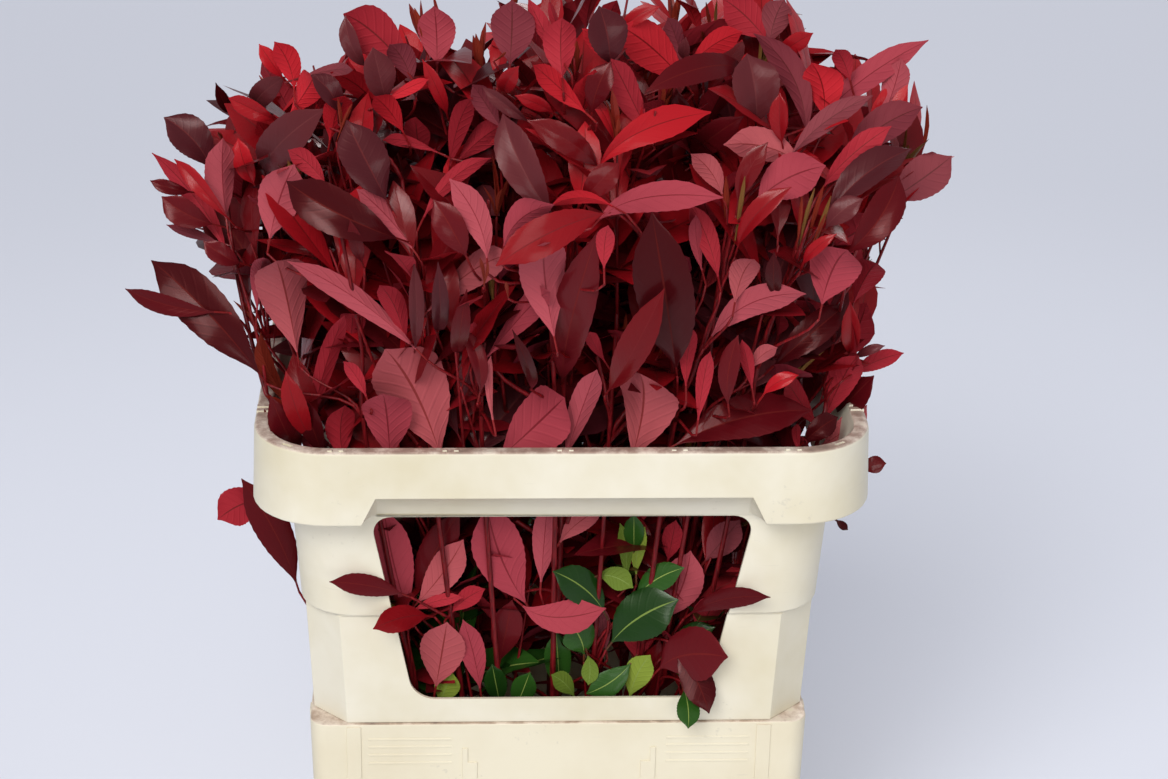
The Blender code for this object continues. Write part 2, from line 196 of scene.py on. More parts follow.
@dataclass(frozen=True)
class MouldedPolypropylene:
    """Ivory polypropylene, injection moulded: an even satin with handling marks and grime.

    The mould leaves a fine orange peel, and years of trolleys leave grey specks, faint scratches
    and a brown-pink film on the faces that look up at the given height.
    """

    name: str
    clean: str
    shade: str
    grime: str
    grime_from: float
    grime_depth: float
    roughness: float = 0.40
    mark: str = "b9b2a0"
    grime_dark: str = "8d7a6d"
    grime_pale: str = "d9c9b8"

    def build(self) -> Material:
        """Return the plastic's material."""
        material, tree, shader = new_material(self.name)
        place = add_node(tree, "ShaderNodeTexCoord").outputs["Object"]
        cloud = add_noise(tree, place, 9.0, 4.0, 0.6)
        base = colour_ramp(tree, cloud, ((0.30, self.shade), (0.62, self.clean)))
        fine, wide = add_noise(tree, place, 210.0, 3.0), add_noise(tree, place, 17.0, 2.0)
        speck = rescale(tree, calculate(tree, "ADD", fine, wide),
                        From_Min=1.30, From_Max=1.40, To_Max=0.40)
        stretch = add_node(tree, "ShaderNodeMapping", None, Vector=place,
                           Rotation=(0.0, 0.25, 0.0), Scale=(30.0, 30.0, 420.0))
        hair = add_noise(tree, stretch.outputs["Vector"], 1.0, 2.0)
        scratch = rescale(tree, hair, From_Min=0.70, From_Max=0.80, To_Max=0.30)
        marks = calculate(tree, "MAXIMUM", speck, scratch)
        marked = mix_colours(tree, marks, base, srgb(self.mark))
        split = add_node(tree, "ShaderNodeSeparateXYZ", None, Vector=place)
        normal = add_node(tree, "ShaderNodeNewGeometry").outputs["Normal"]
        facing = add_node(tree, "ShaderNodeSeparateXYZ", None, Vector=normal)
        high = rescale(tree, split.outputs["Z"], From_Min=self.grime_from - self.grime_depth,
                       From_Max=self.grime_from)
        flat = rescale(tree, facing.outputs["Z"], From_Min=0.35, From_Max=0.85)
        film = calculate(tree, "MULTIPLY", high, flat)
        patch = add_noise(tree, place, 48.0, 5.0, 0.7)
        dirt = colour_ramp(tree, patch, ((0.30, self.grime_dark), (0.46, self.grime),
                                         (0.60, self.grime_pale), (0.72, self.clean)))
        connect(tree, shader, Base_Color=mix_colours(tree, film, marked, dirt))
        dull = rescale(tree, cloud, To_Min=self.roughness - 0.05, To_Max=self.roughness + 0.10)
        connect(tree, shader, Roughness=dull)
        add_bump(tree, shader, add_noise(tree, place, 320.0, 2.0), 0.12, 0.0004)
        connect(tree, shader, IOR=1.49)
        return material


@dataclass(frozen=True)
class LeafSurface:
    """One side of a photinia leaf: a leathery blade with sunken side veins.

    The upper side has a waxy, mirror-like cuticle, and the underside is matt. The colour is plain,
    because each leaf takes its own from the palette, and only the veins' relief is patterned.
    """

    name: str
    colour: str
    roughness: float
    coat: float = 0.0
    specular: float = 0.3
    gloss_tint: str = "f0b8b0"
    vein_height: float = 0.0003
    veins: float = 9.0
    vein_slant: float = 0.42

    def build(self) -> Material:
        """Return the material of this side of a leaf."""
        material, tree, shader = new_material(self.name)
        connect(tree, shader, Base_Color=srgb(self.colour), Roughness=self.roughness,
                Coat_Weight=self.coat, Coat_Roughness=0.14, Specular_IOR_Level=self.specular,
                Specular_Tint=srgb(self.gloss_tint), IOR=1.46)
        leaf = add_node(tree, "ShaderNodeUVMap", {"uv_map": "leaf"}).outputs["UV"]
        split = add_node(tree, "ShaderNodeSeparateXYZ", None, Vector=leaf)
        away = calculate(tree, "ABSOLUTE", calculate(tree, "SUBTRACT", split.outputs["X"], 0.5))
        slant = calculate(tree, "MULTIPLY_ADD", away, -self.vein_slant, split.outputs["Y"])
        wave = calculate(tree, "SINE", calculate(tree, "MULTIPLY", slant, self.veins * math.tau))
        ridge = rescale(tree, wave, From_Min=0.55, From_Max=1.0, To_Max=1.0)
        place = add_node(tree, "ShaderNodeTexCoord").outputs["Object"]
        grain = add_noise(tree, place, 260.0, 3.0)
        whole = calculate(tree, "MULTIPLY_ADD", grain, 0.5, ridge)
        add_bump(tree, shader, whole, 0.55, self.vein_height)
        return material


@dataclass(frozen=True)
class YoungBark:
    """Bark of a cut photinia stem: smooth, dark red, with fine lengthwise lines and pale pores."""

    name: str
    dark: str
    light: str
    pore: str = "5c2c22"

    def build(self) -> Material:
        """Return the bark's material."""
        material, tree, shader = new_material(self.name)
        place = add_node(tree, "ShaderNodeTexCoord").outputs["Object"]
        stretch = add_node(tree, "ShaderNodeMapping", None, Vector=place,
                           Scale=(620.0, 620.0, 45.0))
        lines = add_noise(tree, stretch.outputs["Vector"], 1.0, 3.0)
        pores = add_node(tree, "ShaderNodeTexVoronoi", None, Vector=place, Scale=240.0)
        dot = rescale(tree, pores.outputs["Distance"],
                      From_Min=0.08, From_Max=0.20, To_Min=0.8, To_Max=0.0)
        base = colour_ramp(tree, lines, ((0.35, self.dark), (0.70, self.light)))
        connect(tree, shader, Base_Color=mix_colours(tree, dot, base, srgb(self.pore)))
        add_bump(tree, shader, lines, 0.4, 0.0004)
        connect(tree, shader, Roughness=0.42, Specular_IOR_Level=0.20)
        return material


@dataclass(frozen=True)
class StudioPaper:
    """Pale matt studio paper under the object."""

    colour: str = "dfe1e9"

    def build(self) -> Material:
        """Return the paper's material."""
        material, tree, shader = new_material("studio_paper")
        connect(tree, shader, Base_Color=srgb(self.colour), Roughness=0.95)
        return material


class Tint(Enum):
    """Kinds of leaf colour, each with a pair of finishes and a share of the crown."""

    BURGUNDY = "burgundy"
    CRIMSON = "crimson"
    SCARLET = "scarlet"
    MAUVE = "mauve"
    BRONZE = "bronze"
    CORAL = "coral"
    GREEN = "green"


# The photograph's camera


@dataclass
class PhotoCamera:
    """The camera at the photograph's angle, from a fit to the container's rim, band and foot."""

    place: tuple[float, float, float] = (-0.072, -1.813, 1.2463)
    turn_deg: float = 2.92
    down_deg: float = 23.01
    roll_deg: float = 1.03
    lens_mm: float = 80.1
    sensor_mm: float = 36.0
    picture: tuple[int, int] = (1168, 779)

    @property
    def focal(self) -> float:
        """Return the focal length in the photograph's pixels."""
        return self.lens_mm / self.sensor_mm * self.picture[0]

    def axes(self) -> tuple[Vector, Vector, Vector]:
        """Return the camera's right, up and forward directions."""
        turn, down, roll = (math.radians(a) for a in (self.turn_deg, self.down_deg, self.roll_deg))
        forward = Vector((math.sin(turn) * math.cos(down), math.cos(turn) * math.cos(down),
                          -math.sin(down)))
        level = Vector((math.cos(turn), -math.sin(turn), 0.0))
        above = level.cross(forward)
        right = level * math.cos(roll) + above * math.sin(roll)
        return right, above * math.cos(roll) - level * math.sin(roll), forward

    def ray(self, pixel: Sequence[float]) -> Vector:
        """Return the direction from the camera through a pixel of the photograph."""
        right, above, forward = self.axes()
        across = (pixel[0] - self.picture[0] / 2) / self.focal
        down = (pixel[1] - self.picture[1] / 2) / self.focal
        return (forward + right * across - above * down).normalized()

    def at_depth(self, pixel: Sequence[float], depth_y: float) -> np.ndarray:
        """Return the place where a pixel's ray meets the upright plane at a Y."""
        ray = self.ray(pixel)
        start = Vector(self.place)
        return np.array(start + ray * ((depth_y - start.y) / ray.y))

    def away(self, place: np.ndarray) -> np.ndarray:
        """Return the direction from the camera to a place."""
        return unit(place - np.array(self.place))

    def pixel_size(self, place: np.ndarray) -> float:
        """Return how many metres one pixel covers at a place."""
        return np.linalg.norm(place - np.array(self.place)) * (1 / self.focal)

    def pixels(self, points: np.ndarray) -> np.ndarray:
        """Return the pixel and the distance along the view of each point.

        Args:
            points: places in metres, one row each.

        Returns:
            Columns of x, y and distance.
        """
        right, above, forward = (np.array(axis) for axis in self.axes())
        away = points - np.array(self.place)
        depth = away @ forward
        across = self.picture[0] / 2 + self.focal * (away @ right) / depth
        down = self.picture[1] / 2 - self.focal * (away @ above) / depth
        return np.column_stack([across, down, depth])

    def build(self) -> None:
        """Add the camera to the scene."""
        right, above, forward = self.axes()
        data = bpy.data.cameras.new("photo_camera")
        data.lens = self.lens_mm
        data.sensor_width = self.sensor_mm
        camera = bpy.data.objects.new("photo_camera", data)
        turned = Matrix((right, above, -forward)).transposed().to_4x4()
        camera.matrix_world = Matrix.Translation(self.place) @ turned
        bpy.context.scene.collection.objects.link(camera)
        bpy.context.scene.camera = camera


@dataclass(frozen=True)
class Softbox:
    """One square area light: where it hangs, how wide it is and how strong."""

    name: str
    place: tuple[float, float, float]
    size: float
    watts: float


@dataclass
class Studio:
    """Floor, soft lights and a pale surround."""

    floor_half: float = 30.0
    surround: str = "dde0ea"
    surround_strength: float = 0.56
    overhead_strength: float = 1.82
    overhead_angle_deg: float = 38.0
    overhead_place: tuple[float, float, float] = (-0.9, -2.4, 2.5)
    softbox_spread_deg: float = 75.0
    softboxes: tuple[Softbox, ...] = (
        Softbox("key_softbox", (-0.8, -2.0, 2.2), 0.8, 3.0),
        Softbox("front_softbox", (0.8, -2.6, 0.9), 1.1, 2.4),
        Softbox("back_softbox", (0.9, 2.3, 2.3), 1.0, 4.5),
    )
    crown_middle: tuple[float, float, float] = (0.0, 0.0, 0.5)

    def build(self) -> None:
        """Add the floor, the lights and the surround."""
        bm = bmesh.new()
        bmesh.ops.create_grid(bm, x_segments=1, y_segments=1, size=self.floor_half)
        floor = make_piece("studio_floor", bm, [StudioPaper().build()])
        floor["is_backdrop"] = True
        world = bpy.data.worlds.new("studio")
        world.use_nodes = True
        connect(world.node_tree, world.node_tree.nodes["Background"],
                Color=srgb(self.surround), Strength=self.surround_strength)
        bpy.context.scene.world = world
        overhead = bpy.data.lights.new("overhead_bank", "SUN")
        overhead.energy = self.overhead_strength
        overhead.angle = math.radians(self.overhead_angle_deg)
        self.hang(overhead, self.overhead_place)
        for softbox in self.softboxes:
            light = bpy.data.lights.new(softbox.name, "AREA")
            light.size = softbox.size
            light.spread = math.radians(self.softbox_spread_deg)
            light.energy = softbox.watts
            self.hang(light, softbox.place)

    def hang(self, data: Light, place: tuple[float, float, float]) -> None:
        """Hang a light at a place, looking at the crown."""
        lamp = bpy.data.objects.new(data.name, data)
        lamp.location = place
        towards = Vector(self.crown_middle) - Vector(place)
        lamp.rotation_euler = towards.to_track_quat("-Z", "Y").to_euler()
        bpy.context.scene.collection.objects.link(lamp)


# Meshes


def link_piece(name: str, mesh: Mesh, materials: Iterable[Material]) -> Object:
    """Return an object of a mesh and its material slots, linked to the scene."""
    for material in materials:
        mesh.materials.append(material)
    piece = bpy.data.objects.new(name, mesh)
    bpy.context.scene.collection.objects.link(piece)
    return piece


def mark_edges(bm: BMesh, sharp_deg: float) -> None:
    """Make a bmesh smooth but for its open edges and those that turn more than an angle."""
    for face in bm.faces:
        face.smooth = True
    for edge in bm.edges:
        flat = edge.calc_face_angle(0.0) < math.radians(sharp_deg)
        edge.smooth = len(edge.link_faces) != 2 or flat


def make_piece(name: str, bm: BMesh, materials: Iterable[Material]) -> Object:
    """Turn a bmesh into an object at the origin, smooth but for its sharp edges.

    Args:
        name: the piece's name.
        bm: its mesh, which is freed.
        materials: its material slots, in order.

    Returns:
        The object, linked to the scene.
    """
    mark_edges(bm, SHARP_DEG)
    mesh = bpy.data.meshes.new(name)
    bm.to_mesh(mesh)
    bm.free()
    return link_piece(name, mesh, materials)


def apply_modifiers(piece: Object) -> Mesh:
    """Turn a piece's modifiers into plain mesh data and return it."""
    graph = bpy.context.evaluated_depsgraph_get()
    mesh = bpy.data.meshes.new_from_object(piece.evaluated_get(graph))
    piece.modifiers.clear()
    piece.data = mesh
    return mesh


def settle(piece: Object, sharp_deg: float = SHARP_DEG) -> None:
    """Apply a piece's modifiers, merge its double points and mark its sharp edges."""
    mesh = apply_modifiers(piece)
    bm = bmesh.new()
    bm.from_mesh(mesh)
    bmesh.ops.remove_doubles(bm, verts=bm.verts, dist=0.00001)
    mark_edges(bm, sharp_deg)
    bm.to_mesh(mesh)
    bm.free()


def cut_away(piece: Object, cutter: Object, operation: str = "DIFFERENCE") -> None:
    """Cut one object out of another, or join it on, and remove the cutter."""
    modifier = piece.modifiers.new("cut", "BOOLEAN")
    modifier.operation = operation
    modifier.solver = "EXACT"
    modifier.object = cutter
    settle(piece)
    bpy.data.objects.remove(cutter, do_unlink=True)


def add_block(bm: BMesh, place: Vector, size: tuple[float, float, float], turn: float = 0.0) -> None:
    """Add a box at a place, turned about the vertical."""
    matrix = Matrix.Translation(place) @ Matrix.Rotation(turn, 4, "Z")
    bmesh.ops.create_cube(bm, size=1.0, matrix=matrix @ Matrix.Diagonal((*size, 1.0)))


def of_kind(items: Iterable, kind: type) -> list:
    """Return the parts of one kind among those that an operator made."""
    return [item for item in items if isinstance(item, kind)]


@dataclass(frozen=True)
class Section:
    """One level of the container: a rectangle with round or chamfered corners."""

    half: float
    corner: float
    height: float
    rounded: bool = True


@dataclass
class ContainerForm:
    """What the bucket and the collar share: rings of one pattern, and the way between them."""

    depth_less: float = 0.053
    corner_steps: int = 10

    def place(self, section: Section, index: int) -> Vector:
        """Return the place of one of a ring's vertices."""
        quarter, step = divmod(index, self.corner_steps + 1)
        share = step / self.corner_steps
        start = math.pi / 2 * quarter
        first = Vector((math.cos(start), math.sin(start)))
        last = Vector((-math.sin(start), math.cos(start)))
        turn = start + math.pi / 2 * share
        arc = Vector((math.cos(turn), math.sin(turn)))
        sign_x = 1 if quarter in (0, 3) else -1
        sign_y = 1 if quarter in (0, 1) else -1
        middle = Vector((sign_x * (section.half - section.corner),
                         sign_y * (section.half - self.depth_less - section.corner)))
        spot = middle + section.corner * (arc if section.rounded else first.lerp(last, share))
        return Vector((spot.x, spot.y, section.height))

    def add_wall(self, bm: BMesh, sections: Sequence[Section], closed: bool) -> list[list]:
        """Extrude a ring from section to section, and back to the first if closed.

        Args:
            bm: where the wall goes.
            sections: levels in order round the wall.
            closed: whether the wall comes back to its start.

        Returns:
            The edges of the first and of the last ring.
        """
        steps = 4 * (self.corner_steps + 1)
        ring = bmesh.ops.create_circle(bm, segments=steps, radius=1.0)["verts"]
        edges = list(dict.fromkeys(edge for vert in ring for edge in vert.link_edges))
        ends = [edges]
        for index, vert in enumerate(ring):
            vert.co = self.place(sections[0], index)
        for section in [*sections[1:], *(sections[:1] if closed else [])]:
            made = bmesh.ops.extrude_edge_only(bm, edges=edges)["geom"]
            fresh = set(of_kind(made, BMVert))
            ring = [next(edge.other_vert(vert) for edge in vert.link_edges
                         if edge.other_vert(vert) in fresh) for vert in ring]
            edges = [edge for edge in of_kind(made, BMEdge) if set(edge.verts) <= fresh]
            for index, vert in enumerate(ring):
                vert.co = self.place(section, index)
        ends.append(edges)
        if closed:
            bmesh.ops.remove_doubles(bm, verts=bm.verts, dist=0.000001)
        return ends

    @staticmethod
    def sides() -> Iterable[tuple[Vector, Vector, bool]]:
        """Yield each side's outward and sideways direction, and whether it is a short side."""
        for index, way in enumerate(((0, -1, 0), (1, 0, 0), (0, 1, 0), (-1, 0, 0))):
            outward = Vector(way)
            yield outward, outward.cross(UP) * -1, index % 2 == 1

    def reach(self, half: float, short: bool) -> float:
        """Return how far out a side's face stands at a half width."""
        return half if short else half - self.depth_less

    def add_prism(self, bm: BMesh, outline: Sequence[tuple[float, float]],
                  outward: Vector, sideways: Vector, start: float, travel: Sequence[Vector],
                  corner: float = 0.0) -> None:
        """Add a closed prism: an outline in a side's plane, rounded, moved along its steps.

        Args:
            bm: where the prism goes.
            outline: places across and up.
            outward: the side's outward direction.
            sideways: the direction across the side.
            start: how far out the outline stands.
            travel: the steps by which it is moved.
            corner: radius of its corners.
        """
        verts = [bm.verts.new(outward * start + sideways * across + UP * height)
                 for across, height in outline]
        face = bm.faces.new(verts)
        if corner:
            made = bmesh.ops.bevel(bm, geom=verts, offset=corner, offset_type="OFFSET",
                                   affect="VERTICES", segments=7, profile=0.5, material=-1)
            face = next(iter(made["verts"][0].link_faces))
        for number, step in enumerate(travel):
            moved = bmesh.ops.extrude_face_region(bm, geom=[face])["geom"]
            bmesh.ops.translate(bm, verts=of_kind(moved, BMVert), vec=step)
            if number:
                bmesh.ops.delete(bm, geom=[face], context="FACES_ONLY")
            face = of_kind(moved, BMFace)[0]


# The container


@dataclass
class Collar(ContainerForm):
    """Flared collar of the display container: rim band, stepped body, four windows, spigot."""

    rim: float = 0.4983
    tall: float = 0.236
    band_tall: float = 0.055
    band_foot: float = 0.222
    rim_outer: float = 0.220
    rim_inner: float = 0.209
    rim_corner: float = 0.056
    body_top: float = 0.196
    body_step: float = 0.1905
    body_corner: float = 0.040
    step_drop: float = 0.142
    step_tall: float = 0.003
    lower_top: float = 0.187
    lower_foot: float = 0.183
    chamfer_leg: float = 0.0257
    spigot: float = 0.1750
    spigot_tall: float = 0.012
    wall: float = 0.003
    window_top_drop: float = 0.0605
    window_foot_drop: float = 0.216
    window_top_half: float = 0.138
    window_foot_half: float = 0.108
    window_corner: float = 0.016
    window_depth: float = 0.052
    band_cut_drop: float = 0.0335
    band_cut_top_half: float = 0.1325
    band_cut_foot_half: float = 0.149
    band_cut_clear: float = 0.012
    cove_depth: float = 0.0255
    cove_slope: float = 1.06
    cove_clear: float = 0.002
    cove_steps: int = 7
    edge_round: float = 0.0007
    tab_spacing: float = 0.080
    tab_apart: float = 0.008
    tab_size: tuple[float, float, float] = (0.0034, 0.0026, 0.0022)
    slot_size: tuple[float, float, float] = (0.0085, 0.0022, 0.0030)
    grip_size: tuple[float, float, float] = (0.0100, 0.0046, 0.0026)
    grip_place: float = 0.088
    grip_apart: float = 1.7
    lug_out: float = 0.0012
    lug_round: float = 0.0005
    slot_slant: float = 1.35

    def outline(self) -> list[Section]:
        """Return the wall's levels, up the outside, over the rim, down the inside and the spigot."""
        foot = self.rim - self.tall
        ledge = self.rim - self.step_drop
        leg = self.chamfer_leg - self.wall * (2 - math.sqrt(2))
        band = self.rim - self.band_tall
        corner = self.rim_corner
        return [
            Section(self.lower_foot, self.chamfer_leg, foot, False),
            Section(self.lower_top, self.chamfer_leg, ledge - self.step_tall, False),
            Section(self.body_step - 0.0008, self.body_corner, ledge - 0.0008),
            Section(self.body_step, self.body_corner, ledge + 0.0004),
            Section(self.body_top - 0.0006, self.body_corner, band - 0.010),
            Section(self.body_top + 0.0004, self.body_corner, band - 0.0050),
            Section(self.body_top + 0.0030, self.body_corner + 0.002, band - 0.0022),
            Section(self.band_foot - 0.0016, corner - 0.0015, band - 0.0008),
            Section(self.band_foot - 0.0003, corner, band),
            Section(self.band_foot, corner, band + 0.0012),
            Section(self.rim_outer, corner, self.rim - 0.0026),
            Section(self.rim_outer - 0.0006, corner - 0.0006, self.rim - 0.0009),
            Section(self.rim_outer - 0.0022, corner - 0.0022, self.rim),
            Section(self.rim_inner + 0.0016, corner - 0.0094, self.rim),
            Section(self.rim_inner + 0.0003, corner - 0.0107, self.rim - 0.0006),
            Section(self.rim_inner - 0.0002, corner - 0.0112, self.rim - 0.0020),
            Section(self.body_top - self.wall, self.body_corner - self.wall, band - self.wall),
            Section(self.body_step - self.wall, self.body_corner - self.wall, ledge),
            Section(self.lower_top - self.wall, leg, ledge - self.step_tall, False),
            Section(self.lower_foot - self.wall, leg, foot + self.wall, False),
            Section(self.spigot - self.wall, leg, foot, False),
            Section(self.spigot - self.wall, leg, foot - self.spigot_tall, False),
            Section(self.spigot, leg, foot - self.spigot_tall, False),
            Section(self.spigot, leg, foot, False),
        ]

    def windows(self) -> Object:
        """Return the prisms that open a window in each side."""
        bm = bmesh.new()
        top, foot = self.rim - self.window_top_drop, self.rim - self.window_foot_drop
        for outward, sideways, short in self.sides():
            less = self.depth_less if short else 0.0
            wide, narrow = self.window_top_half - less, self.window_foot_half - less
            outline = [(-narrow, foot), (narrow, foot), (wide, top), (-wide, top)]
            start = self.reach(self.rim_outer, short) + self.wall
            self.add_prism(bm, outline, outward, sideways, start, [outward * -self.window_depth],
                           self.window_corner)
        return cutter_from("window_cutter", bm)

    def coves(self) -> Object:
        """Return the curved cuts that raise the band's lower edge between the corners."""
        bm = bmesh.new()
        travel = []
        depth, drop = 0.0, 0.0
        tall = self.cove_depth * self.cove_slope
        for step in range(self.cove_steps):
            share = (step + 1) / self.cove_steps
            turn = share * math.pi / 2
            depth_now = (self.cove_depth * math.sin(turn) + self.cove_depth * share) / 2
            drop_now = (tall * (1 - math.cos(turn)) + tall * share) / 2
            clear = 0.0 if step else self.cove_clear
            travel.append((depth_now - depth + clear, drop_now - drop))
            depth, drop = depth_now, drop_now
        top = self.rim - self.band_cut_drop
        foot = self.rim - self.band_tall - self.band_cut_clear
        for outward, sideways, short in self.sides():
            less = self.depth_less if short else 0.0
            wide, narrow = self.band_cut_foot_half - less, self.band_cut_top_half - less
            outline = [(-wide, foot), (wide, foot), (narrow, top), (-narrow, top)]
            start = self.reach(self.band_foot, short) + self.cove_clear
            steps = [outward * -along - UP * down for along, down in travel]
            self.add_prism(bm, outline, outward, sideways, start, steps)
        return cutter_from("cove_cutter", bm)

    def slots(self) -> Object:
        """Return the cuts for the drain slots on the rim's corners."""
        bm = bmesh.new()
        middle = (self.rim_outer + self.rim_inner) / 2
        arc = self.rim_corner - (self.rim_outer - self.rim_inner) / 2
        for side_x in (-1, 1):
            for side_y in (-1, 1):
                turn = math.atan2(side_y * self.slot_slant, side_x)
                place = Vector((side_x * (middle - arc),
                                side_y * (middle - self.depth_less - arc), self.rim))
                place += Vector((math.cos(turn), math.sin(turn), 0.0)) * arc
                add_block(bm, place, self.slot_size, turn + math.pi / 2)
        return cutter_from("slot_cutter", bm)

    def lugs(self) -> Object:
        """Return the stacking lugs in pairs along the rim, and the grips on its short sides."""
        bm = bmesh.new()
        middle = (self.rim_outer + self.rim_inner) / 2
        for side in (-1, 1):
            reach = side * (middle - self.depth_less + self.lug_out)
            for pair in range(-2, 3):
                for lug in (-0.5, 0.5):
                    across = pair * self.tab_spacing + lug * self.tab_apart
                    add_block(bm, Vector((across, reach, self.rim)), self.tab_size)
        for side in (-1, 1):
            for place_y in (-self.grip_place, 0.0, self.grip_place):
                for lug in (-0.5, 0.5):
                    along = place_y + lug * self.grip_size[1] * self.grip_apart
                    add_block(bm, Vector((side * middle, along, self.rim)), self.grip_size)
        bmesh.ops.bevel(bm, geom=bm.edges[:], offset=self.lug_round, offset_type="OFFSET",
                        affect="EDGES", segments=2, profile=0.5, material=-1)
        return cutter_from("rim_lugs", bm)

    def build(self) -> Object:
        """Model the collar, dress it and set it in place of its node."""
        bm = bmesh.new()
        self.add_wall(bm, self.outline(), closed=True)
        bmesh.ops.recalc_face_normals(bm, faces=bm.faces)
        plastic = MouldedPolypropylene("ivory_collar_polypropylene", "dcd5c1", "cfc5a8", "a88f80",
                                       self.rim, 0.006)
        collar = make_piece("collar_moulding", bm, [plastic.build()])
        cut_away(collar, self.windows())
        cut_away(collar, self.coves())
        cut_away(collar, self.slots())
        soften(collar, self.edge_round)
        cut_away(collar, self.lugs(), "UNION")
        weigh_normals(collar)
        return seat(collar, ["collar"])


@dataclass
class Bucket(ContainerForm):
    """Tapered bucket under the collar: corner posts, ribs, a bare label frame and a folded lip."""

    top: float = 0.262
    foot_half: float = 0.152
    skirt_half: float = 0.1855
    skirt_foot_half: float = 0.1840
    skirt_tall: float = 0.072
    step_in: float = 0.0045
    mouth_half: float = 0.1765
    mouth_chamfer: float = 0.026
    neck_half: float = 0.176
    corner: float = 0.014
    wall: float = 0.003
    floor_thick: float = 0.004
    strip_inner: float = 0.1475
    strip_width: float = 0.0105
    strip_proud: float = 0.0010
    frame_half: float = 0.0722
    frame_drop: float = 0.021
    frame_tall: float = 0.044
    frame_edge: float = 0.0040
    frame_proud: float = 0.0011
    frame_step: tuple[float, float] = (0.0070, 0.012)
    rib_drops: tuple[float, ...] = (0.0130, 0.0195, 0.0265, 0.0335)
    rib_span: tuple[float, float] = (0.080, 0.142)
    rib_half: float = 0.0008
    rib_proud: float = 0.0005
    strip_foot_gap: float = 0.003
    strip_top_gap: float = 0.0022
    plate_sink: float = 0.0010
    edge_round: float = 0.0005

    def half_at(self, height: float) -> float:
        """Return the outer wall's half width at a height of the skirt."""
        share = (self.top - height) / self.skirt_tall
        return self.skirt_half + (self.skirt_foot_half - self.skirt_half) * share

    def outline(self) -> list[Section]:
        """Return the wall's levels, up the outside and down the inside."""
        skirt = self.top - self.skirt_tall
        inner = self.corner - self.wall
        under = self.skirt_foot_half - self.step_in
        return [
            Section(self.foot_half - 0.0012, self.corner - 0.001, 0.0),
            Section(self.foot_half, self.corner, 0.0016),
            Section(under - 0.0006, self.corner, skirt - 0.0016),
            Section(under + 0.0006, self.corner, skirt - 0.0004),
            Section(self.skirt_foot_half - 0.0008, self.corner, skirt),
            Section(self.skirt_foot_half, self.corner, skirt + 0.0010),
            Section(self.skirt_half, self.corner, self.top - 0.0014),
            Section(self.skirt_half - 0.0004, self.corner - 0.0004, self.top - 0.0004),
            Section(self.skirt_half - 0.0014, self.corner - 0.001, self.top),
            Section(self.mouth_half + 0.0006, self.mouth_chamfer + 0.0006, self.top, False),
            Section(self.mouth_half, self.mouth_chamfer, self.top - 0.0006, False),
            Section(self.mouth_half, self.mouth_chamfer, self.top - 0.014, False),
            Section(self.neck_half - self.wall, inner, self.top - 0.022),
            Section(self.foot_half - self.wall + 0.0005, inner, self.floor_thick + 0.004),
            Section(self.foot_half - self.wall - 0.0030, inner - 0.002, self.floor_thick),
        ]

    def add_plate(self, bm: BMesh, outline: Sequence[tuple[float, float]],
                  side: tuple[Vector, Vector, bool], proud: float) -> None:
        """Add a raised plate that follows the wall.

        Args:
            bm: where the plate goes.
            outline: places across and up.
            side: outward and sideways directions, and whether the side is a short one.
            proud: how far it stands out of the wall.
        """
        outward, sideways, short = side
        face = bm.faces.new([bm.verts.new((across, 0.0, height)) for across, height in outline])
        back = list(face.verts)
        made = bmesh.ops.extrude_face_region(bm, geom=[face])["geom"]
        front = of_kind(made, BMVert)
        for verts, out in ((back, -self.plate_sink), (front, proud)):
            for vert in verts:
                reach = self.reach(self.half_at(vert.co.z), short) + out
                vert.co = outward * reach + sideways * vert.co.x + UP * vert.co.z

    def label_frame(self) -> list[tuple[float, float]]:
        """Return the bare label frame's outline: open at the top, with a step in each upright."""
        top = self.top - self.frame_drop
        foot = top - self.frame_tall
        half, edge = self.frame_half, self.frame_edge
        step, low = half - edge - self.frame_step[0], top - self.frame_step[1]
        right = [(half, foot), (half, top), (half - edge, top), (half - edge, low), (step, low),
                 (step, foot + edge)]
        return right + [(-across, height) for across, height in reversed(right)]

    @staticmethod
    def oblong(start: float, finish: float, foot: float, top: float) -> list[tuple[float, float]]:
        """Return an oblong's outline."""
        return [(start, foot), (finish, foot), (finish, top), (start, top)]

    def details(self) -> Object:
        """Return the raised details of the four sides."""
        bm = bmesh.new()
        low = self.top - self.skirt_tall + self.strip_foot_gap
        high = self.top - self.strip_top_gap
        for side in self.sides():
            short = side[2]
            for sign in (-1, 1):
                near = sign * (self.strip_inner - (self.depth_less if short else 0.0))
                far = near + sign * self.strip_width
                self.add_plate(bm, self.oblong(near, far, low, high), side, self.strip_proud)
                start, finish = sign * self.rib_span[0], sign * self.rib_span[1]
                for drop in () if short else self.rib_drops:
                    foot, top = self.top - drop - self.rib_half, self.top - drop + self.rib_half
                    rib = self.oblong(start, finish, foot, top)
                    self.add_plate(bm, rib, side, self.rib_proud)
            if not short:
                self.add_plate(bm, self.label_frame(), side, self.frame_proud)
        bmesh.ops.recalc_face_normals(bm, faces=bm.faces)
        return cutter_from("bucket_details", bm)

    def build(self) -> Object:
        """Model the bucket, dress it and set it in place of its node."""
        bm = bmesh.new()
        for ring in self.add_wall(bm, self.outline(), closed=False):
            bmesh.ops.contextual_create(bm, geom=ring)
        bmesh.ops.recalc_face_normals(bm, faces=bm.faces)
        plastic = MouldedPolypropylene("ivory_bucket_polypropylene", "dbd2b9", "d3c8ac", "b39c88",
                                       self.top, 0.004)
        bucket = make_piece("bucket_moulding", bm, [plastic.build()])
        cut_away(bucket, self.details(), "UNION")
        soften(bucket, self.edge_round)
        weigh_normals(bucket)
        return seat(bucket, ["bucket"])


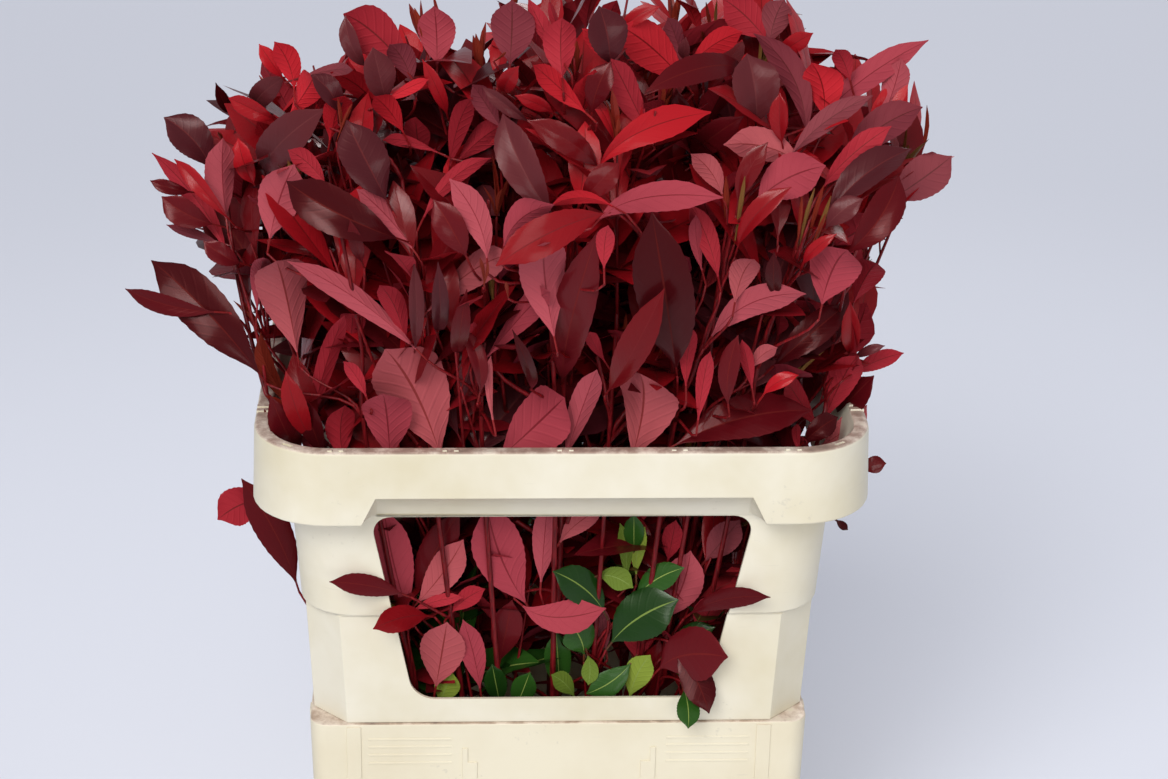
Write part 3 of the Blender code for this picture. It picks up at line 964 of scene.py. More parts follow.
def cutter_from(name: str, bm: BMesh) -> Object:
    """Return a bmesh as a closed object for a Boolean, its faces outwards."""
    bmesh.ops.recalc_face_normals(bm, faces=bm.faces)
    return make_piece(name, bm, [])


def soften(piece: Object, width: float) -> None:
    """Round a piece's hard edges a little."""
    modifier = piece.modifiers.new("soft_edges", "BEVEL")
    modifier.width = width
    modifier.segments = 2
    modifier.limit_method = "ANGLE"
    modifier.angle_limit = math.radians(38)
    modifier.use_clamp_overlap = True
    settle(piece, 50.0)


def weigh_normals(piece: Object) -> None:
    """Let a piece's large faces set the shading of its rounded edges."""
    modifier = piece.modifiers.new("weighted", "WEIGHTED_NORMAL")
    modifier.keep_sharp = True
    modifier.weight = 60
    apply_modifiers(piece)


def seat(piece: Object, nodes: Sequence[str]) -> Object:
    """Let a piece ride on the part and stand for its nodes, whose CAD meshes it hides.

    Args:
        piece: the finished object.
        nodes: the CAD nodes it stands for.

    Returns:
        The same object.
    """
    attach(piece, "root")
    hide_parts(*nodes)
    LOG.info("%s: %d faces for %s", piece.name, len(piece.data.polygons), ", ".join(nodes[:3]))
    return piece


# Joined meshes of tubes and leaves


@dataclass
class JoinedMesh:
    """Points and faces gathered from many small shapes of one piece."""

    points: list[np.ndarray] = field(default_factory=list)
    corners: list[np.ndarray] = field(default_factory=list)
    totals: list[np.ndarray] = field(default_factory=list)
    slots: list[np.ndarray] = field(default_factory=list)
    uvs: list[np.ndarray] = field(default_factory=list)
    sharp: list[np.ndarray] = field(default_factory=list)
    count: int = 0

    def add(self, points: np.ndarray, corners: np.ndarray, totals: np.ndarray,
            slots: np.ndarray | None = None, uvs: np.ndarray | None = None,
            sharp: np.ndarray | None = None) -> None:
        """Add one shape.

        Args:
            points: its vertices.
            corners: its faces' vertex numbers, one after another.
            totals: the number of corners of each face.
            slots: each face's material slot.
            uvs: each corner's place on the leaf.
            sharp: which vertices lie on a sharp rim.
        """
        self.points.append(points)
        self.corners.append(corners + self.count)
        self.totals.append(totals)
        self.slots.append(np.zeros(len(totals), np.int32) if slots is None else slots)
        self.uvs.append(np.zeros((len(corners), 2)) if uvs is None else uvs)
        self.sharp.append(np.zeros(len(points), bool) if sharp is None else sharp)
        self.count += len(points)

    def build(self, name: str, materials: Iterable[Material]) -> Object:
        """Return the piece of all shapes added."""
        points, corners = np.concatenate(self.points), np.concatenate(self.corners)
        totals, rims = np.concatenate(self.totals), np.concatenate(self.sharp)
        mesh = bpy.data.meshes.new(name)
        mesh.vertices.add(len(points))
        mesh.vertices.foreach_set("co", points.astype(np.float32).ravel())
        mesh.loops.add(len(corners))
        mesh.loops.foreach_set("vertex_index", corners.astype(np.int32))
        mesh.polygons.add(len(totals))
        starts = np.concatenate([[0], np.cumsum(totals)[:-1]])
        mesh.polygons.foreach_set("loop_start", starts.astype(np.int32))
        mesh.polygons.foreach_set("material_index", np.concatenate(self.slots).astype(np.int32))
        mesh.update(calc_edges=True)
        leaf_uvs = np.concatenate(self.uvs).astype(np.float32)
        mesh.uv_layers.new(name="leaf").uv.foreach_set("vector", leaf_uvs.ravel())
        ends = np.empty(len(mesh.edges) * 2, np.int32)
        mesh.edges.foreach_get("vertices", ends)
        ends = ends.reshape(-1, 2)
        mesh.shade_smooth()
        edge = mesh.attributes.new("sharp_edge", "BOOLEAN", "EDGE")
        edge.data.foreach_set("value", rims[ends[:, 0]] & rims[ends[:, 1]])
        return link_piece(name, mesh, materials)


def smooth_path(points: np.ndarray, steps: int) -> np.ndarray:
    """Return a smooth curve through some points.

    Args:
        points: the places it passes, one row each.
        steps: the number of places returned.

    Returns:
        Places along the curve, one row each.
    """
    padded = np.vstack([2 * points[0] - points[1], points, 2 * points[-1] - points[-2]])
    place = np.linspace(0, len(points) - 1 - 1e-9, steps)
    first = place.astype(int)
    t = (place - first)[:, None]
    p0, p1, p2, p3 = (padded[first + shift] for shift in range(4))
    return 0.5 * (2 * p1 + (p2 - p0) * t + (2 * p0 - 5 * p1 + 4 * p2 - p3) * t ** 2
                  + (3 * p1 - p0 - 3 * p2 + p3) * t ** 3)


def add_tube(target: JoinedMesh, path: np.ndarray, radii: np.ndarray, sides: int) -> None:
    """Add a closed tube along a path.

    Args:
        target: the joined mesh it goes to.
        path: places along its middle.
        radii: radius at each place, or at each place and side.
        sides: corners of its section.
    """
    count = len(path)
    tangents = np.gradient(path, axis=0)
    tangents /= np.linalg.norm(tangents, axis=1)[:, None]
    normal = np.cross(tangents[0], (0.31, 0.87, 0.38))
    frames = []
    for tangent in tangents:
        normal = normal - tangent * (normal @ tangent)
        normal /= np.linalg.norm(normal)
        frames.append((normal, np.cross(tangent, normal)))
    angles = np.arange(sides) * math.tau / sides
    radii = radii if radii.ndim == 2 else np.repeat(radii[:, None], sides, axis=1)
    firsts = np.array([frame[0] for frame in frames])[:, None, :]
    seconds = np.array([frame[1] for frame in frames])[:, None, :]
    rings = path[:, None, :] + radii[:, :, None] * (firsts * np.cos(angles)[None, :, None]
                                                   + seconds * np.sin(angles)[None, :, None])
    points = np.vstack([rings.reshape(-1, 3), path[:1] - tangents[:1] * radii[0, 0] * 0.3,
                        path[-1:] + tangents[-1:] * radii[-1, 0] * 0.6])
    ring = np.arange(count - 1)[:, None] * sides
    side = np.arange(sides)[None, :]
    after = (side + 1) % sides
    quads = np.stack([ring + side, ring + after, ring + sides + after, ring + sides + side],
                     axis=-1).reshape(-1, 4)
    turn = np.arange(sides)
    first_cap = np.stack([(turn + 1) % sides, turn, np.full(sides, count * sides)], axis=-1)
    last = (count - 1) * sides
    last_cap = np.stack([last + turn, last + (turn + 1) % sides, np.full(sides, count * sides + 1)], axis=-1)
    corners = np.concatenate([quads.ravel(), first_cap.ravel(), last_cap.ravel()])
    totals = np.concatenate([np.full(len(quads), 4), np.full(2 * sides, 3)])
    target.add(points, corners, totals)


# Leaves


# Half width of a blade along its length, from its foot to its drawn-out tip
BLADE_PLACES = (0.0, 0.05, 0.12, 0.22, 0.35, 0.48, 0.60, 0.72, 0.82, 0.90, 0.955, 1.0)
BLADE_WIDTHS = (0.03, 0.13, 0.33, 0.61, 0.86, 0.98, 1.0, 0.91, 0.69, 0.37, 0.14, 0.015)
PETIOLE_HALF = 0.0008
BLADE_THICK = 0.00032
MIDRIB_THICK = 0.0011
MIDRIB_FACE_HALF = 0.03
MIDRIB_RIDGE_HALF = 0.08
BLADE_CUP = 0.16
WAVE_TURN = 11.0
WAVE_SHIFT = 1.9
UPPER_SLOT, UNDER_SLOT, MIDRIB_SLOT, PETIOLE_SLOT = range(4)


@dataclass(frozen=True)
class Leaf:
    """One leaf: where its petiole starts, how it lies and how it is bent."""

    base: np.ndarray
    along: np.ndarray
    face: np.ndarray
    length: float
    half_width: float
    recurve: float
    fold: float
    twist: float
    sickle: float
    wave: float
    phase: float
    petiole: float


@dataclass
class LeafPattern:
    """A leaf of two layers that share their rim, laid out flat, which each leaf bends to its own shape.

    Its x runs from edge to edge over the midrib, its y from the petiole's start to the tip.
    """

    across: tuple[float, ...]
    along: tuple[float, ...]
    serration: float = 0.0

    def __post_init__(self) -> None:
        """Lay out the pattern and keep its numbers."""
        bm = bmesh.new()
        columns, rows = len(self.across) - 1, len(self.along) - 1
        bmesh.ops.create_grid(bm, x_segments=columns, y_segments=rows, size=1.0)
        rim = set()
        for vert in bm.verts:
            column = round((vert.co.x + 1) / 2 * columns)
            row = round((vert.co.y + 1) / 2 * rows)
            if column in (0, columns) or row in (0, rows):
                rim.add(vert)
            vert.co = Vector((self.across[column], self.along[row], 0.0 if vert in rim else 1.0))
        made = bmesh.ops.duplicate(bm, geom=bm.verts[:] + bm.edges[:] + bm.faces[:])["geom"]
        bmesh.ops.reverse_faces(bm, faces=of_kind(made, BMFace))
        bmesh.ops.scale(bm, verts=of_kind(made, BMVert), vec=(1, 1, -1))
        bmesh.ops.remove_doubles(bm, verts=bm.verts, dist=0.0001)
        bm.verts.index_update()
        self.flat = np.array([vert.co[:] for vert in bm.verts])
        self.faces = np.array([[vert.index for vert in face.verts] for face in bm.faces])
        middle = np.array([face.calc_center_median()[:] for face in bm.faces])
        bm.free()
        self.slots = np.where(middle[:, 2] > 0, UPPER_SLOT, UNDER_SLOT)
        self.slots[np.abs(middle[:, 0]) < MIDRIB_FACE_HALF] = MIDRIB_SLOT
        self.slots[middle[:, 1] < 0] = PETIOLE_SLOT
        self.uvs = np.stack([self.flat[:, 0] * 0.5 + 0.5, self.flat[:, 1]], axis=1)[self.faces.ravel()]
        self.rims = self.flat[:, 2] == 0

    def shape(self, leaf: Leaf) -> np.ndarray:
        """Return the vertices of one leaf bent to its own shape."""
        u, v, layer = self.flat.T
        blade = np.clip(v, 0.0, 1.0)
        bend = leaf.recurve if abs(leaf.recurve) > 0.001 else 0.001
        side = np.cross(leaf.along, leaf.face)
        angle = bend * blade
        run = np.sin(angle) / bend * leaf.length + np.minimum(v, 0.0) * leaf.petiole + leaf.petiole
        dip = (1 - np.cos(angle)) / bend * leaf.length
        stray = leaf.sickle * blade ** 2 / 2 * leaf.length
        middle = (leaf.base + run[:, None] * leaf.along - dip[:, None] * leaf.face + stray[:, None] * side)
        normal = np.sin(angle)[:, None] * leaf.along + np.cos(angle)[:, None] * leaf.face
        lean = side - (leaf.sickle * blade)[:, None] * (np.cos(angle)[:, None] * leaf.along
                                                        - np.sin(angle)[:, None] * leaf.face)
        turn = (leaf.twist * blade)[:, None]
        across = lean * np.cos(turn) + normal * np.sin(turn)
        normal = normal * np.cos(turn) - lean * np.sin(turn)
        width = np.interp(blade, BLADE_PLACES, BLADE_WIDTHS) * leaf.half_width
        if self.serration:
            row = np.searchsorted(np.array(self.along), v - 1e-6)
            width = width * np.where((np.abs(u) == 1) & (row % 2 == 0), 1 - self.serration, 1.0)
        width = np.where(v < 0, PETIOLE_HALF, np.maximum(width, PETIOLE_HALF * np.where(v > 0.9, 0.3, 1.0)))
        open_up = leaf.fold * (1 - 0.5 * blade)
        lift = np.abs(u) * np.sin(open_up) - BLADE_CUP * u ** 2
        turns = blade * WAVE_TURN + leaf.phase + np.where(u > 0, WAVE_SHIFT, 0.0)
        lift = lift + leaf.wave * u ** 2 * np.sin(turns)
        lift = np.where(v > 0, lift, 0.0) * width
        thick = np.where(v < 0, PETIOLE_HALF * 1.8, BLADE_THICK)
        ridge = (np.abs(u) < MIDRIB_RIDGE_HALF) & (layer < 0)
        thick = np.where(ridge, thick + MIDRIB_THICK * (1 - blade), thick)
        return (middle + (u * width * np.cos(open_up))[:, None] * across
                + (lift + layer * thick / 2)[:, None] * normal)

    def add_to(self, target: JoinedMesh, leaf: Leaf) -> None:
        """Add one leaf to a joined mesh."""
        totals = np.full(len(self.faces), 4)
        target.add(self.shape(leaf), self.faces.ravel(), totals, self.slots, self.uvs, self.rims)


SPRAY_LEAF = LeafPattern((-1.0, -0.52, -0.045, 0.045, 0.52, 1.0),
                         (-1.0, 0.0, 0.1, 0.25, 0.42, 0.6, 0.76, 0.9, 1.0))
SMALL_LEAF = LeafPattern((-1.0, -0.05, 0.05, 1.0), (-1.0, 0.0, 0.12, 0.35, 0.6, 0.82, 1.0))
TEETH_ROWS = 26
FRONT_LEAF = LeafPattern((-1.0, -0.80, -0.40, -0.035, 0.035, 0.40, 0.80, 1.0),
                         (-1.0, -0.5, *(round(row / TEETH_ROWS, 4) for row in range(TEETH_ROWS + 1))),
                         0.03)


class Side(Enum):
    """Which side of a leaf the photograph shows."""

    UPPER = 1
    UNDER = -1


@dataclass(frozen=True)
class LeafFinish:
    """One shade of a leaf colour, as sRGB hex values, with the gloss of its upper side."""

    upper: str
    under: str
    rib: str
    stalk: str
    roughness: float
    coat: float
    gloss: str = "e8a49c"

    def build(self, name: str) -> list[Material]:
        """Return the materials of the upper side, the underside, the midrib and the petiole."""
        surfaces = (
            LeafSurface(f"{name}_upper", self.upper, self.roughness, self.coat, 0.24, self.gloss, 0.0001),
            LeafSurface(f"{name}_under", self.under, 0.60, 0.0, 0.22, self.gloss, 0.00035, 8.0),
            LeafSurface(f"{name}_midrib", self.rib, 0.50, 0.0, 0.30, self.gloss, 0.0001),
            LeafSurface(f"{name}_petiole", self.stalk, 0.42, 0.1, 0.40, self.gloss, 0.0001),
        )
        return [surface.build() for surface in surfaces]


FINISHES: dict[Tint, tuple[LeafFinish, ...]] = {
    Tint.BURGUNDY: (LeafFinish("38070b", "70202a", "48100f", "5a0c0e", 0.30, 0.12, "e87c74"),
                    LeafFinish("4c0a10", "80262e", "561414", "640f11", 0.31, 0.12, "e87c74"),
                    LeafFinish("560f15", "8a2c34", "601818", "6a1214", 0.33, 0.12, "e88880")),
    Tint.CRIMSON: (LeafFinish("600a10", "94222c", "64161a", "6a0e12", 0.32, 0.20),
                   LeafFinish("7e0e15", "9e2832", "6c181c", "740f14", 0.36, 0.15)),
    Tint.SCARLET: (LeafFinish("8c1018", "a81c25", "6c0e12", "7c1014", 0.40, 0.12),
                   LeafFinish("a2141d", "b8242d", "761014", "841418", 0.42, 0.12)),
    Tint.MAUVE: (LeafFinish("44161b", "702c34", "541e20", "601418", 0.34, 0.14),
                 LeafFinish("542024", "7c383e", "5e2a2c", "661a1c", 0.40, 0.10)),
    Tint.BRONZE: (LeafFinish("741e14", "7e2a1c", "5c140e", "701812", 0.36, 0.20, "e8b0a0"),
                  LeafFinish("5e3618", "76522a", "6c2418", "702414", 0.38, 0.20, "e8d0a0")),
    Tint.CORAL: (LeafFinish("7c141c", "983842", "701e26", "701418", 0.36, 0.16),
                 LeafFinish("861e24", "a2464e", "7c262e", "76181a", 0.40, 0.16),
                 LeafFinish("861e24", "a44c50", "7c2c2c", "76181a", 0.40, 0.14)),
    Tint.GREEN: (LeafFinish("14300c", "5a6c24", "6a7c38", "4c2818", 0.32, 0.20, "d8e8c0"),
                 LeafFinish("254816", "7c8c34", "7c8c44", "5c321c", 0.36, 0.18, "d8e8c0")),
}

OVER, UNDER = Side.UPPER, Side.UNDER
BUR, CRI, SCA, MAU = Tint.BURGUNDY, Tint.CRIMSON, Tint.SCARLET, Tint.MAUVE
BRO, COR, GRE = Tint.BRONZE, Tint.CORAL, Tint.GREEN

# Leaves of the crown's front by their pixels in the photograph: foot of the blade, tip, width, the side
# that shows, the tint, and how far the middle bows to the left of the way from foot to tip
FRONT_LEAVES = (
    (236, 110, 217, 84, 12, OVER, BUR, 5), (282, 77, 259, 44, 16, OVER, SCA, 0),
    (294, 88, 275, 43, 24, UNDER, SCA, -3), (290, 114, 313, 76, 30, UNDER, SCA, 2),
    (338, 112, 312, 76, 24, OVER, MAU, -3), (256, 108, 285, 77, 22, OVER, MAU, 4),
    (275, 120, 230, 98, 20, OVER, SCA, -3), (265, 172, 324, 109, 38, OVER, MAU, 6),
    (211, 168, 166, 120, 36, OVER, MAU, -5), (226, 250, 154, 154, 20, UNDER, CRI, -5),
    (190, 192, 151, 181, 14, OVER, BUR, 2), (212, 224, 163, 197, 28, OVER, BUR, 3),
    (218, 242, 167, 225, 12, UNDER, MAU, 2), (226, 218, 223, 138, 36, UNDER, COR, 0),
    (228, 218, 178, 162, 16, OVER, SCA, -6), (254, 184, 238, 138, 22, OVER, SCA, 0),
    (270, 238, 294, 165, 42, UNDER, COR, 3), (325, 184, 290, 152, 20, UNDER, CRI, -4),
    (396, 238, 288, 183, 46, OVER, BUR, 5), (412, 248, 359, 192, 26, UNDER, COR, -6),
    (386, 199, 347, 122, 44, OVER, MAU, 4), (437, 152, 388, 142, 11, UNDER, CRI, -7),
    (405, 68, 347, 16, 42, UNDER, CRI, -6), (366, 66, 346, 18, 18, OVER, MAU, 4),
    (412, 82, 390, 45, 26, UNDER, MAU, -2), (386, 102, 373, 48, 32, OVER, MAU, 2),
    (447, 114, 423, 60, 14, OVER, SCA, -3), (437, 64, 434, 6, 36, UNDER, COR, 0),
    (403, 132, 374, 97, 24, UNDER, SCA, -2), (384, 101, 427, 80, 13, UNDER, SCA, 3),
    (330, 140, 345, 96, 26, UNDER, SCA, 0), (300, 78, 352, 70, 12, UNDER, MAU, 3),
    (510, 64, 512, 0, 44, UNDER, MAU, 0), (563, 62, 529, 0, 17, UNDER, CRI, 4),
    (566, 44, 549, 0, 10, UNDER, CRI, 0), (562, 78, 562, 18, 36, UNDER, CRI, 0),
    (610, 64, 599, 6, 42, OVER, MAU, 0), (610, 66, 583, 30, 20, UNDER, SCA, -3),
    (620, 34, 657, 10, 14, OVER, SCA, 5), (684, 82, 622, 28, 40, UNDER, SCA, -6),
    (682, 62, 668, 19, 22, UNDER, MAU, -3), (686, 60, 686, 37, 12, OVER, MAU, 0),
    (690, 66, 740, 34, 24, UNDER, SCA, 5), (746, 72, 650, 90, 26, OVER, BUR, -10),
    (766, 40, 724, 0, 34, UNDER, CRI, -4), (648, 134, 612, 60, 30, UNDER, CRI, -4),
    (592, 112, 611, 62, 26, OVER, BUR, 2), (552, 215, 503, 115, 40, OVER, MAU, 4),
    (597, 166, 530, 122, 26, OVER, CRI, -6), (600, 166, 680, 147, 20, OVER, SCA, 22),
    (584, 200, 618, 164, 26, OVER, CRI, 3), (600, 219, 702, 210, 24, UNDER, COR, 19),
    (612, 206, 556, 207, 14, UNDER, SCA, -7), (603, 214, 500, 264, 36, OVER, CRI, -8),
    (504, 246, 548, 214, 26, UNDER, COR, 10), (487, 258, 451, 185, 26, UNDER, COR, -8),
    (466, 256, 434, 200, 30, OVER, BUR, -2), (457, 162, 505, 125, 26, UNDER, CRI, 3),
    (450, 166, 472, 101, 20, UNDER, CRI, 8), (424, 217, 486, 163, 15, UNDER, CRI, 9),
    (500, 127, 473, 85, 22, UNDER, MAU, -2), (528, 121, 484, 88, 16, OVER, MAU, -3),
    (585, 112, 535, 66, 22, UNDER, SCA, -4), (505, 92, 518, 67, 18, OVER, CRI, 3),
    (552, 112, 516, 96, 14, OVER, SCA, -3), (690, 152, 644, 104, 28, UNDER, CRI, -4),
    (690, 136, 676, 88, 24, OVER, BUR, 0), (692, 156, 742, 118, 28, OVER, BUR, 6),
    (722, 194, 692, 155, 22, UNDER, COR, -3), (770, 43, 784, 1, 30, UNDER, MAU, 3),
    (776, 58, 812, 34, 18, OVER, SCA, 3), (756, 122, 747, 54, 50, OVER, MAU, 0),
    (806, 132, 757, 38, 28, UNDER, MAU, -8), (824, 117, 812, 64, 40, UNDER, SCA, -3),
    (850, 80, 836, 50, 18, UNDER, CRI, -2), (824, 114, 926, 41, 26, UNDER, COR, 6),
    (884, 114, 901, 60, 26, UNDER, COR, -3), (792, 154, 871, 97, 22, UNDER, MAU, 5),
    (850, 154, 920, 108, 36, UNDER, MAU, 5), (824, 186, 887, 131, 26, UNDER, CRI, 8),
    (828, 214, 910, 150, 38, OVER, MAU, 5), (893, 198, 951, 157, 40, UNDER, MAU, -3),
    (848, 252, 898, 178, 36, OVER, BUR, -5), (800, 164, 730, 148, 32, UNDER, COR, -8),
    (758, 200, 822, 168, 40, UNDER, COR, 6), (782, 143, 780, 93, 20, OVER, CRI, 0),
    (738, 202, 767, 145, 20, OVER, CRI, 5), (738, 246, 790, 188, 22, OVER, CRI, 4),
    (803, 264, 836, 234, 12, OVER, SCA, 2), (826, 228, 862, 200, 22, OVER, MAU, 3),
    (258, 372, 154, 263, 46, OVER, BUR, -8), (214, 312, 126, 289, 20, OVER, BUR, 3),
    (297, 352, 277, 262, 56, UNDER, COR, -5), (257, 310, 264, 258, 20, UNDER, COR, -2),
    (416, 349, 291, 264, 24, UNDER, COR, -9), (440, 454, 386, 350, 74, UNDER, COR, -4),
    (390, 458, 383, 394, 50, UNDER, COR, 0), (308, 432, 345, 316, 20, UNDER, CRI, -3),
    (298, 412, 261, 333, 18, UNDER, BRO, 4), (310, 460, 316, 436, 26, UNDER, COR, 0),
    (343, 458, 345, 406, 30, UNDER, CRI, 2), (428, 311, 507, 258, 32, UNDER, COR, 11),
    (406, 342, 380, 286, 24, UNDER, CRI, -3), (415, 348, 414, 262, 16, OVER, MAU, 0),
    (240, 263, 205, 242, 20, OVER, BUR, 3), (487, 357, 547, 293, 26, UNDER, COR, 8),
    (554, 336, 545, 243, 50, UNDER, COR, -2), (562, 380, 598, 232, 42, OVER, BUR, -4),
    (500, 458, 563, 398, 60, UNDER, COR, 4), (565, 458, 597, 370, 28, UNDER, COR, -2),
    (632, 458, 640, 374, 68, UNDER, COR, 0), (676, 367, 652, 213, 58, OVER, BUR, -4),
    (609, 390, 664, 290, 34, OVER, CRI, -5), (718, 277, 690, 205, 22, UNDER, CRI, -3),
    (702, 270, 696, 215, 14, UNDER, COR, 0), (712, 336, 797, 301, 26, UNDER, COR, 13),
    (735, 302, 754, 260, 28, UNDER, COR, 2), (822, 304, 846, 252, 50, UNDER, COR, 5),
    (854, 302, 877, 264, 30, UNDER, CRI, 3), (849, 354, 850, 302, 20, OVER, CRI, -3),
    (774, 366, 846, 305, 30, OVER, BUR, -3), (824, 420, 858, 356, 30, UNDER, CRI, 2),
    (854, 373, 903, 353, 17, UNDER, CRI, 2), (855, 358, 884, 346, 9, OVER, MAU, 2),
    (838, 414, 874, 376, 34, OVER, BUR, -2), (822, 445, 866, 406, 24, UNDER, COR, -3),
    (804, 442, 836, 418, 22, OVER, BUR, 3), (677, 444, 810, 411, 44, OVER, BUR, 6),
    (818, 427, 788, 382, 22, UNDER, CRI, -4), (764, 394, 797, 376, 14, OVER, SCA, 3),
    (752, 388, 742, 340, 14, UNDER, CRI, 0), (752, 368, 776, 349, 16, UNDER, COR, 3),
    (799, 452, 797, 424, 9, UNDER, CRI, 0), (472, 356, 474, 322, 12, UNDER, CRI, 0),
    (493, 420, 491, 356, 8, UNDER, COR, 0), (532, 388, 512, 330, 14, OVER, BUR, 2),
    (458, 352, 466, 290, 18, OVER, BUR, 4), (480, 392, 464, 330, 18, OVER, BUR, -4),
    (437, 330, 438, 262, 18, OVER, MAU, 0), (362, 262, 350, 220, 14, OVER, BUR, 0),
    (348, 352, 352, 314, 26, UNDER, CRI, 0), (366, 396, 344, 362, 14, UNDER, CRI, -2),
    (605, 362, 590, 332, 14, UNDER, CRI, 2), (604, 268, 608, 226, 18, UNDER, CRI, 2),
    (686, 386, 694, 330, 16, UNDER, CRI, 0), (698, 420, 710, 352, 16, UNDER, CRI, 2),
    (728, 404, 738, 336, 20, OVER, BUR, 3), (776, 298, 774, 252, 16, OVER, BUR, 0),
    (298, 450, 270, 396, 26, OVER, BUR, 3), (286, 446, 264, 410, 20, OVER, BUR, 2),
    (322, 454, 300, 398, 24, OVER, BUR, -3), (312, 440, 286, 372, 22, OVER, CRI, 3),
)

# Narrow young leaves at shoot tips, by pixels: foot, tip, width
YOUNG_LEAVES = (
    (714, 40, 706, 2, 5), (717, 40, 717, 0, 5), (712, 44, 710, 14, 5), (799, 250, 815, 188, 6),
    (803, 254, 824, 185, 6), (808, 258, 831, 196, 6), (797, 246, 802, 196, 5), (811, 250, 826, 214, 5),
    (703, 46, 702, 31, 5), (729, 246, 726, 176, 8), (735, 240, 745, 176, 6), (338, 138, 352, 104, 5),
    (343, 140, 338, 98, 5), (484, 282, 480, 258, 6), (484, 284, 488, 262, 5), (224, 144, 218, 132, 5),
    (802, 45, 802, 33, 5), (496, 60, 506, 52, 4), (508, 296, 506, 282, 5),
)

# Leaves in the front window and beside the collar, as above, with how far back the foot and the tip
# stand, in millimetres along Y
WINDOW_LEAVES = (
    (408, 612, 384, 508, 40, UNDER, COR, 3, -106, -119), (416, 596, 460, 512, 32, OVER, BUR, 3, -100, -110),
    (418, 602, 463, 540, 32, UNDER, COR, -3, -108, -117),
    (525, 602, 488, 506, 48, UNDER, COR, 6, -108, -120), (541, 582, 548, 500, 24, UNDER, COR, 0, -104, -114),
    (560, 542, 602, 510, 20, UNDER, COR, 4, -106, -112),
    (523, 606, 588, 600, 24, UNDER, COR, -13, -112, -122),
    (667, 617, 690, 552, 38, UNDER, COR, -4, -100, -108),
    (402, 594, 330, 582, 21, OVER, BUR, -3, -134, -160), (428, 616, 374, 629, 25, OVER, CRI, -4, -118, -162),
    (690, 614, 767, 599, 19, OVER, BUR, 8, -116, -160), (660, 668, 720, 662, 44, OVER, BUR, 10, -120, -148),
    (676, 650, 708, 712, 30, OVER, BUR, 4, -124, -150), (684, 690, 688, 728, 22, OVER, GRE, 2, -130, -158),
    (436, 686, 447, 622, 44, UNDER, COR, 0, -108, -118),
    (480, 688, 463, 620, 24, UNDER, COR, -2, -108, -116),
    (452, 612, 484, 590, 18, UNDER, CRI, 3, -110, -116), (414, 610, 462, 598, 12, UNDER, CRI, 3, -112, -116),
    (604, 612, 555, 574, 32, OVER, GRE, -6, -112, -122), (634, 552, 634, 514, 20, OVER, GRE, 0, -104, -112),
    (626, 578, 620, 524, 13, UNDER, GRE, -3, -104, -110),
    (636, 574, 645, 528, 14, UNDER, GRE, 3, -104, -110), (598, 576, 627, 588, 18, UNDER, GRE, 5, -110, -119),
    (636, 598, 682, 570, 24, OVER, GRE, 5, -110, -118), (612, 642, 676, 602, 46, OVER, GRE, 6, -116, -124),
    (584, 654, 570, 624, 32, OVER, GRE, -3, -110, -117), (588, 656, 588, 684, 16, UNDER, GRE, 2, -112, -118),
    (630, 664, 588, 692, 24, OVER, GRE, 4, -112, -118), (668, 652, 714, 628, 24, OVER, GRE, 3, -106, -112),
    (630, 696, 650, 656, 26, UNDER, GRE, 3, -112, -119),
    (574, 696, 552, 676, 18, UNDER, GRE, -3, -110, -117),
    (440, 702, 452, 672, 26, UNDER, GRE, 0, -100, -106), (500, 704, 492, 664, 22, OVER, GRE, 0, -100, -106),
    (516, 708, 530, 672, 24, OVER, GRE, 0, -96, -102), (636, 658, 640, 620, 30, UNDER, CRI, 0, -96, -100),
    (606, 650, 600, 604, 16, UNDER, MAU, 0, -98, -104), (668, 560, 676, 520, 20, UNDER, CRI, 0, -96, -104),
    (706, 560, 740, 520, 30, UNDER, MAU, 0, -96, -104), (500, 660, 512, 600, 30, OVER, BUR, 0, -90, -98),
    (560, 690, 556, 630, 26, OVER, GRE, 0, -88, -96), (648, 700, 660, 640, 26, OVER, CRI, 0, -92, -100),
    (690, 690, 690, 640, 30, OVER, GRE, 0, -92, -100), (264, 500, 222, 519, 34, UNDER, CRI, -5, -20, -30),
    (296, 582, 242, 480, 34, OVER, BUR, -5, -38, -30), (862, 470, 885, 464, 16, OVER, CRI, 2, -20, -20),
    (836, 520, 848, 530, 8, OVER, BUR, 0, -60, -60), (640, 470, 644, 520, 26, UNDER, CRI, 0, -60, -70),
)

# Stems that show in the crown: places by pixel, from the top down to the rim, each with its Y in millimetres
FRONT_STEMS = (
    ((222, 150, -150), (236, 270, -142), (262, 380, -122), (282, 434, -108)),
    ((340, 228, -172), (352, 290, -155), (362, 350, -140), (366, 440, -124)),
    ((402, 180, -190), (412, 245, -176), (427, 320, -156), (430, 442, -128)),
    ((489, 200, -195), (485, 330, -160), (482, 442, -130)),
    ((546, 240, -176), (555, 400, -140), (556, 442, -130)),
    ((597, 356, -152), (607, 400, -140), (609, 442, -130)),
    ((747, 165, -190), (721, 290, -164), (694, 370, -144), (671, 442, -127)),
    ((800, 250, -172), (776, 310, -154), (757, 370, -138), (745, 440, -122)),
    ((730, 236, -176), (716, 300, -160), (700, 440, -126)),
    ((842, 300, -126), (826, 380, -118), (818, 440, -106)),
    ((662, 300, -150), (672, 360, -140), (670, 440, -118)),
)
STEM_FEET = 0.42

# The crown's outline in the photograph, in pixels, which the sprays keep within
CROWN_OUTLINE = (
    (262, 440), (262, 352), (225, 300), (185, 262), (205, 232), (165, 180), (172, 125), (215, 95), (262, 55),
    (300, 66), (340, 58), (352, 18), (410, 25), (437, 6), (475, 30), (505, -22), (640, -26), (790, -16),
    (812, 36), (842, 52), (905, 66), (925, 100), (930, 140), (948, 158), (905, 200), (878, 252), (876, 300),
    (862, 330), (885, 352), (872, 415), (862, 445),
)


